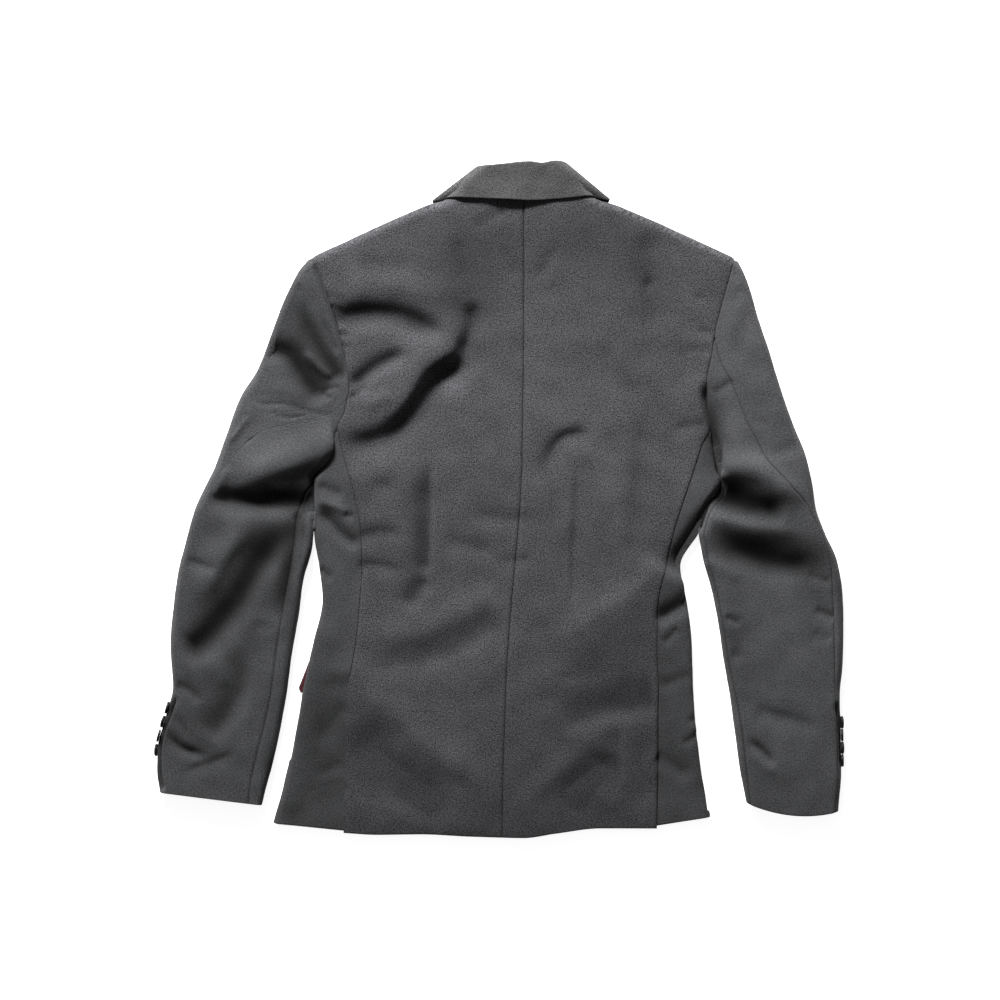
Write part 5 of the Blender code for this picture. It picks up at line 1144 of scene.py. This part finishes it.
def collar_steps(spacing):
    """Stations round the neck, close where it turns over at both sides."""
    return np.concatenate((np.linspace(-1.0, 0.0, 20)[:-1], np.linspace(0.0, 1.0, 12)[:-1],
                           np.linspace(1.0, 2.0, int(92.0 / spacing))[:-1], np.linspace(2.0, 3.0, 12)[:-1],
                           np.linspace(3.0, 4.0, 20)))


def ring_faces(count, corners):
    """Faces between rings that are closed on themselves, with the points' numbers and the next ones'."""
    index = np.arange(count * corners).reshape(count, corners)
    after = np.roll(index, -1, axis=1)
    return np.stack((index[:-1], after[:-1], after[1:], index[1:]), axis=-1).reshape(-1, 4), index, after


def make_fall(finish):
    """The leaf's section swept round the neck: its outer face, a round roll line, and the inner face."""
    leaf = np.sort(np.concatenate((np.linspace(0.0, 1.0, 17), [0.97, 0.99])))
    turn = np.linspace(QUARTER, -QUARTER, 9)[1:]

    def edge_fall(down):
        return 1.0 - bow(LEAF_DROP * (1.0 - down), EDGE_ROUND)
    outer = [(down, 0.0, LEAF_OUT - 0.5 * edge_fall(down)) for down in leaf[::-1]]
    roll = [(0.0, LEAF_PLY * math.cos(angle), -0.3 + LEAF_PLY * math.sin(angle)) for angle in turn]
    inner = [(down, 0.0, 0.35 * edge_fall(down)) for down in leaf[1:]]
    profile = np.array(outer + roll + [(0.0, 0.1, 0.0)] + inner)
    steps = collar_steps(1.7)
    along, part = np.meshgrid(steps, np.arange(len(profile)), indexing="ij")
    down, out, off = (profile[part, column] for column in range(3))
    step = 1e-4
    base = fall_surface(along, down)
    ahead, behind = np.minimum(along + step, steps[-1]), np.maximum(along - step, steps[0])
    across = fall_surface(ahead, down) - fall_surface(behind, down)
    lower, upper = np.minimum(down + step, 1.0), np.maximum(down - step, 0.0)
    fall = fall_surface(along, lower) - fall_surface(along, upper)
    normal = np.cross(fall, across)
    normal /= np.linalg.norm(normal, axis=-1, keepdims=True)
    upward = fall / np.linalg.norm(fall, axis=-1, keepdims=True)
    facing = ease(normal[..., 2] * FACING)
    off = off + facing * (0.35 * swell(2.0 * base[..., 0], 2.0 * base[..., 1])
                          + fold_relief(base[..., 0], base[..., 1], COLLAR_FOLDS))
    points = base + normal * off[..., None] - upward * out[..., None]
    faces, index, _ = ring_faces(*along.shape)
    half = along.shape[1] // 2
    caps = []
    for row, flip in ((index[0], False), (index[-1], True)):
        first, second = row[:half], row[::-1][:half]
        cap = np.stack((first[:-1], second[:-1], second[1:], first[1:]), axis=-1)
        caps.append(cap[:, ::-1] if flip else cap)
    faces = np.concatenate((faces, *caps))
    cloth = base[..., :2].reshape(-1, 2)
    tone = painted_shading_at(base[..., 0], base[..., 1], COLLAR_PAINTED_SHADING).ravel()
    piece = add_mesh("collar_fall_cloth", points.reshape(-1, 3), faces, finish, cloth, tone)
    lay(piece, "collar_fall")


def make_stand(finish):
    """The collar stand, hidden under the leaf."""
    piece = shell("collar_stand_cloth", stand_surface, collar_steps(3.0), np.linspace(0.0, 1.0, 10), -1.0,
                  finish, seams=(0.0, 0.0, 0.0, 0.4), under=0.0)
    lay(piece, "collar_stand")


# Lapels and flaps.

def lapel_edges(side, y):
    """x of a lapel's free edge and of its roll line."""
    share = (LAPEL_TOP - y) / (LAPEL_TOP - LAPEL_END[side])
    roll = glide(FRONT_EDGE["y"], FRONT_EDGE[side], y) + SIDES[side] * 1.0
    return roll + SIDES[side] * glide(LAPEL["share"], LAPEL["width"], share), roll


def make_lapel(side, finish):
    """A lapel, folded out from its roll line and flat under its front."""
    def surface(u, v):
        y = mix(LAPEL_TOP, LAPEL_END[side], v)
        outer, roll = lapel_edges(side, y)
        y = y + LAPEL_PEAK * u * (1.0 - ease(v / PEAK_END)) - LAPEL_FALL * u * ease(v)
        return np.stack((mix(roll, outer, u), y, LAPEL_RISE * (1.0 - u)), axis=-1)
    piece = shell("lapel_" + side + "_cloth", surface, spaced(0.0, 1.0, 20), spaced(0.0, 1.0, 60),
                  SIDES[side], finish, thick=LAPEL_CLOTH, under=0.0)
    lay(piece, "lapel_" + side)


def make_flap(node, thick, level, finish):
    """A pocket flap below a height: a grid between its straight top and its lower edge."""
    side = node.split("_")[-1]
    corners = np.array(FLAPS[side])
    lower = corners[1:4]
    shares = np.linspace(0.0, 1.0, len(lower))

    def surface(u, v):
        top = pair(mix(corners[0, 0], corners[4, 0], u), mix(corners[0, 1], corners[4, 1], u))
        bottom = pair(np.interp(u, shares, lower[:, 0]), np.interp(u, shares, lower[:, 1]))
        place = mix(top, bottom, v[..., None])
        return np.concatenate((place, np.full((*u.shape, 1), level)), axis=-1)
    out = -1.0 if corners[4, 0] > corners[0, 0] else 1.0
    piece = shell(node + "_cloth", surface, spaced(0.0, 1.0, 40), spaced(0.0, 1.0, 14), out, finish,
                  thick=thick, under=0.0, room=0.0)
    lay(piece, node)


# Buttons.

def make_button(node, sizes, middle, axis, finish, turn=0.0):
    """A turned button: a rounded rim, a dished face towards its axis with four thread holes, and a flat
    back. Its face is a disc of rings, whose level is the section's level less a well at each hole."""
    axis = np.array(axis) / np.linalg.norm(axis)
    first = np.cross(axis, (0.0, 0.0, 1.0) if abs(axis[2]) < 0.9 else (1.0, 0.0, 0.0))
    first /= np.linalg.norm(first)
    second = np.cross(axis, first)
    radius, half, rim = sizes["radius"], sizes["thick"] / 2.0, sizes["rim"]
    round_off = np.linspace(QUARTER, -QUARTER, 9)
    dish = np.linspace(0.0, 1.0, 13)[1:]
    face_r = np.concatenate((sizes["dish"] * dish, [sizes["dish"] + 0.3 * (radius - rim - sizes["dish"])]))
    face_z = half - 0.75 * (1.0 - ease((face_r - 0.72 * sizes["dish"]) / (0.28 * sizes["dish"])))
    side_r = radius - rim + rim * np.cos(round_off)
    side_z = np.where(round_off > 0.0, half - rim, -half + rim) + rim * np.sin(round_off)
    back_r = (radius - rim) * np.linspace(1.0, 0.0, 7)[1:-1]
    back_z = -half + 0.0 * back_r
    radii, levels = np.concatenate((face_r, side_r, back_r)), np.concatenate((face_z, side_z, back_z))
    angles = np.linspace(0.0, TURN, 40, endpoint=False)
    ring_r, ring_a = np.meshgrid(radii, angles, indexing="ij")
    level = np.broadcast_to(levels[:, None], ring_r.shape).copy()
    flat_x, flat_y = ring_r * np.cos(ring_a), ring_r * np.sin(ring_a)
    on_face = (np.arange(len(radii)) < len(face_r))[:, None]
    for quarter in range(4):
        angle = turn + math.pi / 4.0 + quarter * QUARTER
        hole = np.hypot(flat_x - HOLE_PLACE * math.cos(angle), flat_y - HOLE_PLACE * math.sin(angle))
        level -= on_face * HOLE_DEPTH * np.exp(-(hole / HOLE_RADIUS) ** 4)
    rings = middle + axis * level[..., None] + first * flat_x[..., None] + second * flat_y[..., None]
    poles = np.array((middle + axis * face_z[0], middle - axis * half))
    points = np.concatenate((rings.reshape(-1, 3), poles))
    count, steps = rings.shape[:2]
    faces, index, after = ring_faces(count, steps)
    front, back = np.full(steps, count * steps), np.full(steps, count * steps + 1)
    triangles = np.concatenate((np.stack((after[0], index[0], front), axis=-1),
                                np.stack((index[-1], after[-1], back), axis=-1)))
    mesh = bpy.data.meshes.new(node + "_turned")
    mesh.from_pydata((points * MM).tolist(), [], faces.tolist() + triangles.tolist())
    declare(smooth_object(mesh, finish, 50.0), node)


def make_cuff_buttons(side, finish):
    """Four touching buttons on edge along the cuff vent, at the outer side of the laid sleeve."""
    sign = SIDES[side]
    rows = sleeve_row(side, np.linspace(0.0, 1.0, 400))

    def edge(at):
        return np.interp(-at, -rows["outer_y"], rows["outer_x"])
    for number, y in enumerate(CUFF_BUTTON_ROWS[side], start=1):
        height = np.interp(-y, -rows["outer_y"], rows["height"])
        slope = float(slope_of(edge, y, 5.0))
        out = np.array((sign, -sign * slope, 0.0)) / math.hypot(1.0, slope)
        seat = np.array((float(edge(y)), y, EDGE_SHARE * height))
        middle = seat + out * CUFF_BUTTON["thick"] / 2.0
        lean = np.array((0.0, 0.0, 0.10 * math.sin(3.0 * number + sign)))
        make_button(f"cuff_button_{side}_{number}", CUFF_BUTTON, middle, out + lean, finish,
                    turn=0.7 * number)


# Finishes.

class Wire:
    """A socket of a node tree. Reckoning with it adds Math nodes."""

    def __init__(self, tree, socket):
        self.tree, self.socket = tree, socket

    def reckon(self, operation, *terms):
        node = self.tree.nodes.new("ShaderNodeMath")
        node.operation = operation
        for slot, term in zip(node.inputs, terms):
            plug(self.tree, slot, term)
        return Wire(self.tree, node.outputs[0])

    def __add__(self, other):
        return self.reckon("ADD", self, other)

    def __sub__(self, other):
        return self.reckon("SUBTRACT", self, other)

    def __mul__(self, other):
        return self.reckon("MULTIPLY", self, other)

    def at_least(self, least):
        return self.reckon("MAXIMUM", self, least)

    def held(self):
        """The value kept from 0 to 1."""
        return self.reckon("MINIMUM", self.at_least(0.0), 1.0)

    def sine(self):
        return self.reckon("SINE", self)


def plug(tree, slot, value):
    """Feeds a socket from another one, or sets it."""
    if isinstance(value, Wire):
        tree.links.new(value.socket, slot)
    else:
        slot.default_value = value


class Finish:
    """A material with one Principled shader, and its node maker."""

    def __init__(self, name):
        self.material = bpy.data.materials.new(name)
        self.material.use_nodes = True
        self.tree = self.material.node_tree
        self.shader = self.tree.nodes["Principled BSDF"]

    def node(self, kind, output=0, settings=None, places=None, **inputs):
        """A node of a kind: its settings, its inputs by name or place, and the socket that it gives."""
        made = self.tree.nodes.new("ShaderNode" + kind)
        for key, value in (settings or {}).items():
            setattr(made, key, value)
        for key, value in inputs.items():
            plug(self.tree, made.inputs[key.replace("_", " ")], value)
        for place, value in (places or {}).items():
            plug(self.tree, made.inputs[place], value)
        return Wire(self.tree, made.outputs[output])

    def blend(self, factor, first, second):
        """One colour turned into another by a factor."""
        return self.node("Mix", output=2, settings={"data_type": "RGBA"},
                         places={0: factor, 6: (*first, 1.0), 7: (*second, 1.0)})

    def bump(self, height, distance, strength, **below):
        """A normal raised by a height, on top of the normal below it."""
        return self.node("Bump", Height=height, Distance=distance, Strength=strength, **below)

    def shine(self, **values):
        """Sets the shader's values by name."""
        for key, value in values.items():
            plug(self.tree, self.shader.inputs[key.replace("_", " ")], value)
        return self


def suiting(name, shade, fleck, collar_tone=1.0, hem_tone=1.0, tint=(1.0, 0.99, 1.06)):
    """Wool suiting: a fine twill of pale and dark fibres, brushed soft, on the piece's own cloth plan.

    Its shade passes from the collar's tone to the hem's as painted light, paler towards the collar and
    darker towards the hem, and takes the painted shading kept on the mesh."""
    finish = Finish(name)
    plan = finish.node("UVMap", settings={"uv_map": "cloth"})
    across, down = (finish.node("SeparateXYZ", output=part, Vector=plan) for part in range(2))
    twill = ((across + down) * (TURN / TWILL)).sine()
    rib = ((across - down * 0.35) * (TURN / (0.62 * TWILL))).sine()
    fibres = finish.node("TexNoise", Vector=plan, Scale=720.0, Detail=1.5, Roughness=0.6)
    melange = finish.node("TexNoise", Vector=plan, Scale=330.0, Detail=1.0, Roughness=0.6)
    cloudy = finish.node("TexNoise", Vector=plan, Scale=38.0, Detail=3.0, Roughness=0.55)
    flecks = (fibres - 0.5) * (3.9 * fleck) + (melange - 0.5) * (0.8 * fleck)
    grain = flecks + (cloudy - 0.5) * 0.6 + twill * 0.05
    place = finish.node("TexCoord", output=3)
    # Painted light and shade: the gradient from collar to hem, times the painted shading of the mesh.
    towards_collar = (finish.node("SeparateXYZ", output=1, Vector=place) * (1.0 / LENGTH) + 0.5).held()
    painted_shading = finish.node("Attribute", output=2, settings={"attribute_name": "tone"})
    tone = (towards_collar * (collar_tone - hem_tone) + hem_tone) * painted_shading
    value = ((grain + 1.0).at_least(0.12) * tone * 0.5).held()
    colour = finish.blend(value, (0.0, 0.0, 0.0), tuple(PALE * shade * part for part in tint))
    weave = twill * 0.4 + rib * 0.25 + (fibres - 0.5) * 2.4
    normal = finish.bump(weave, 0.00018, 0.8)
    normal = finish.bump(cloudy + (melange - 0.5) * 0.4, 0.0007, 0.6, Normal=normal)
    return finish.shine(Base_Color=colour, Roughness=0.95, Normal=normal, Sheen_Weight=0.05,
                        Sheen_Roughness=0.5, Specular_IOR_Level=0.03)


def satin(name, dark, pale):
    """Lining: a smooth weave with a soft lengthwise gleam."""
    finish = Finish(name)
    plan = finish.node("UVMap", settings={"uv_map": "cloth"})
    streaks = finish.node("TexNoise", Vector=plan, Scale=300.0, Detail=2.0)
    colour = finish.blend(streaks.held(), dark, pale)
    return finish.shine(Base_Color=colour, Roughness=0.42, Normal=finish.bump(streaks, 0.0002, 0.4))


def horn(name):
    """Black horn-like plastic: faint mottling under a polished surface."""
    finish = Finish(name)
    place = finish.node("TexCoord", output=3)
    mottle = finish.node("TexNoise", Vector=place, Scale=500.0, Detail=3.0)
    colour = finish.blend(mottle.held(), (0.003, 0.003, 0.0035), (0.012, 0.012, 0.012))
    rough = mottle * 0.15 + 0.38
    return finish.shine(Base_Color=colour, Roughness=rough, Specular_IOR_Level=0.12)


# Floor, light and camera.

def make_floor():
    """A plain white floor."""
    reach, level = 8.0, -0.0004
    corners = [(reach * x, reach * y, level) for x, y in ((-1, -1), (1, -1), (1, 1), (-1, 1))]
    mesh = bpy.data.meshes.new("floor")
    mesh.from_pydata(corners, [], [(0, 1, 2, 3)])
    finish = Finish("floor_white")
    tint = finish.node("TexNoise", Vector=finish.node("TexCoord", output=3), Scale=3.0)
    colour = finish.blend(tint, (0.90, 0.90, 0.905), (0.91, 0.91, 0.91))
    finish.shine(Base_Color=colour, Roughness=0.9, Specular_IOR_Level=0.0,
                 Emission_Color=(1.0, 1.0, 1.0, 1.0), Emission_Strength=0.85)
    mesh.materials.append(finish.material)
    link_object("floor", mesh)


def make_light():
    """One broad, fairly low light from beyond the collar, and a faint even glow all round."""
    light = bpy.data.lights.new("key", "AREA")
    light.shape = "RECTANGLE"
    light.size, light.size_y = 1.2, 0.6
    light.energy = 500.0
    thing = link_object("key", light)
    thing.location = (-0.85, 3.08, 1.62)
    thing.rotation_euler = (-thing.location).to_track_quat("-Z", "Y").to_euler()
    world = bpy.data.worlds.new("studio")
    bpy.context.scene.world = world
    world.use_nodes = True
    glow = world.node_tree.nodes["Background"].inputs
    glow["Color"].default_value = (1.0, 1.0, 1.0, 1.0)
    glow["Strength"].default_value = 0.165
    bpy.context.scene.view_settings.view_transform = "Standard"


def make_camera():
    """Straight above the jacket, far off, so that the frame is 1.1 m wide at the folded edges' height."""
    distance, frame_width, level = 4.0, 1.1, 0.010
    camera = bpy.data.cameras.new("camera")
    camera.sensor_width = 36.0
    camera.lens = camera.sensor_width * distance / frame_width
    camera.clip_end = 30.0
    thing = link_object("camera", camera)
    thing.location = (0.0008, -0.0003, distance + level)
    bpy.context.scene.camera = thing


def main():
    """The camera, light and floor, the finishes, and all pieces."""
    make_camera()
    make_light()
    make_floor()
    # One cloth in four copies, whose shades differ as painted shade and light: the side panels and sleeves
    # darker, the collar paler than the back.
    back = suiting("suiting_back", 0.046, 1.0, 1.1, 0.75)
    sides = suiting("suiting_sides", 0.040, 0.6, 1.1, 0.85, (0.99, 1.0, 1.04))
    sleeves = suiting("suiting_sleeves", 0.044, 0.6, 1.15, 0.85, (0.99, 1.0, 1.04))
    collar = suiting("suiting_collar", 0.048, 0.8, 1.0, 1.0, (1.0, 1.0, 1.02))
    lining = satin("lining_dark_red", (0.026, 0.004, 0.006), (0.058, 0.010, 0.013))
    buttons = horn("horn_black_polished")
    for side in SIDES:
        make_back(side, back)
        make_side(side, sides)
        make_front(side, back)
        make_sleeve(side, sleeves)
        make_lapel(side, collar)
        make_cuff_buttons(side, buttons)
    make_stand(collar)
    make_fall(collar)
    top = REST_LIFT - GAP
    make_flap("pocket_flap_right", FLAP_CLOTH, top, back)
    make_flap("flap_lining_left", FLAP_LINING, top, lining)
    make_flap("pocket_flap_left", FLAP_CLOTH, top - FLAP_LINING - GAP, back)
    for number, (x, y) in enumerate(FRONT_BUTTON_PLACES, start=1):
        middle = np.array((x, y, FRONT_BUTTON["thick"] / 2.0))
        make_button(f"front_button_{number}", FRONT_BUTTON, middle, (0.0, 0.0, -1.0), buttons)


main()
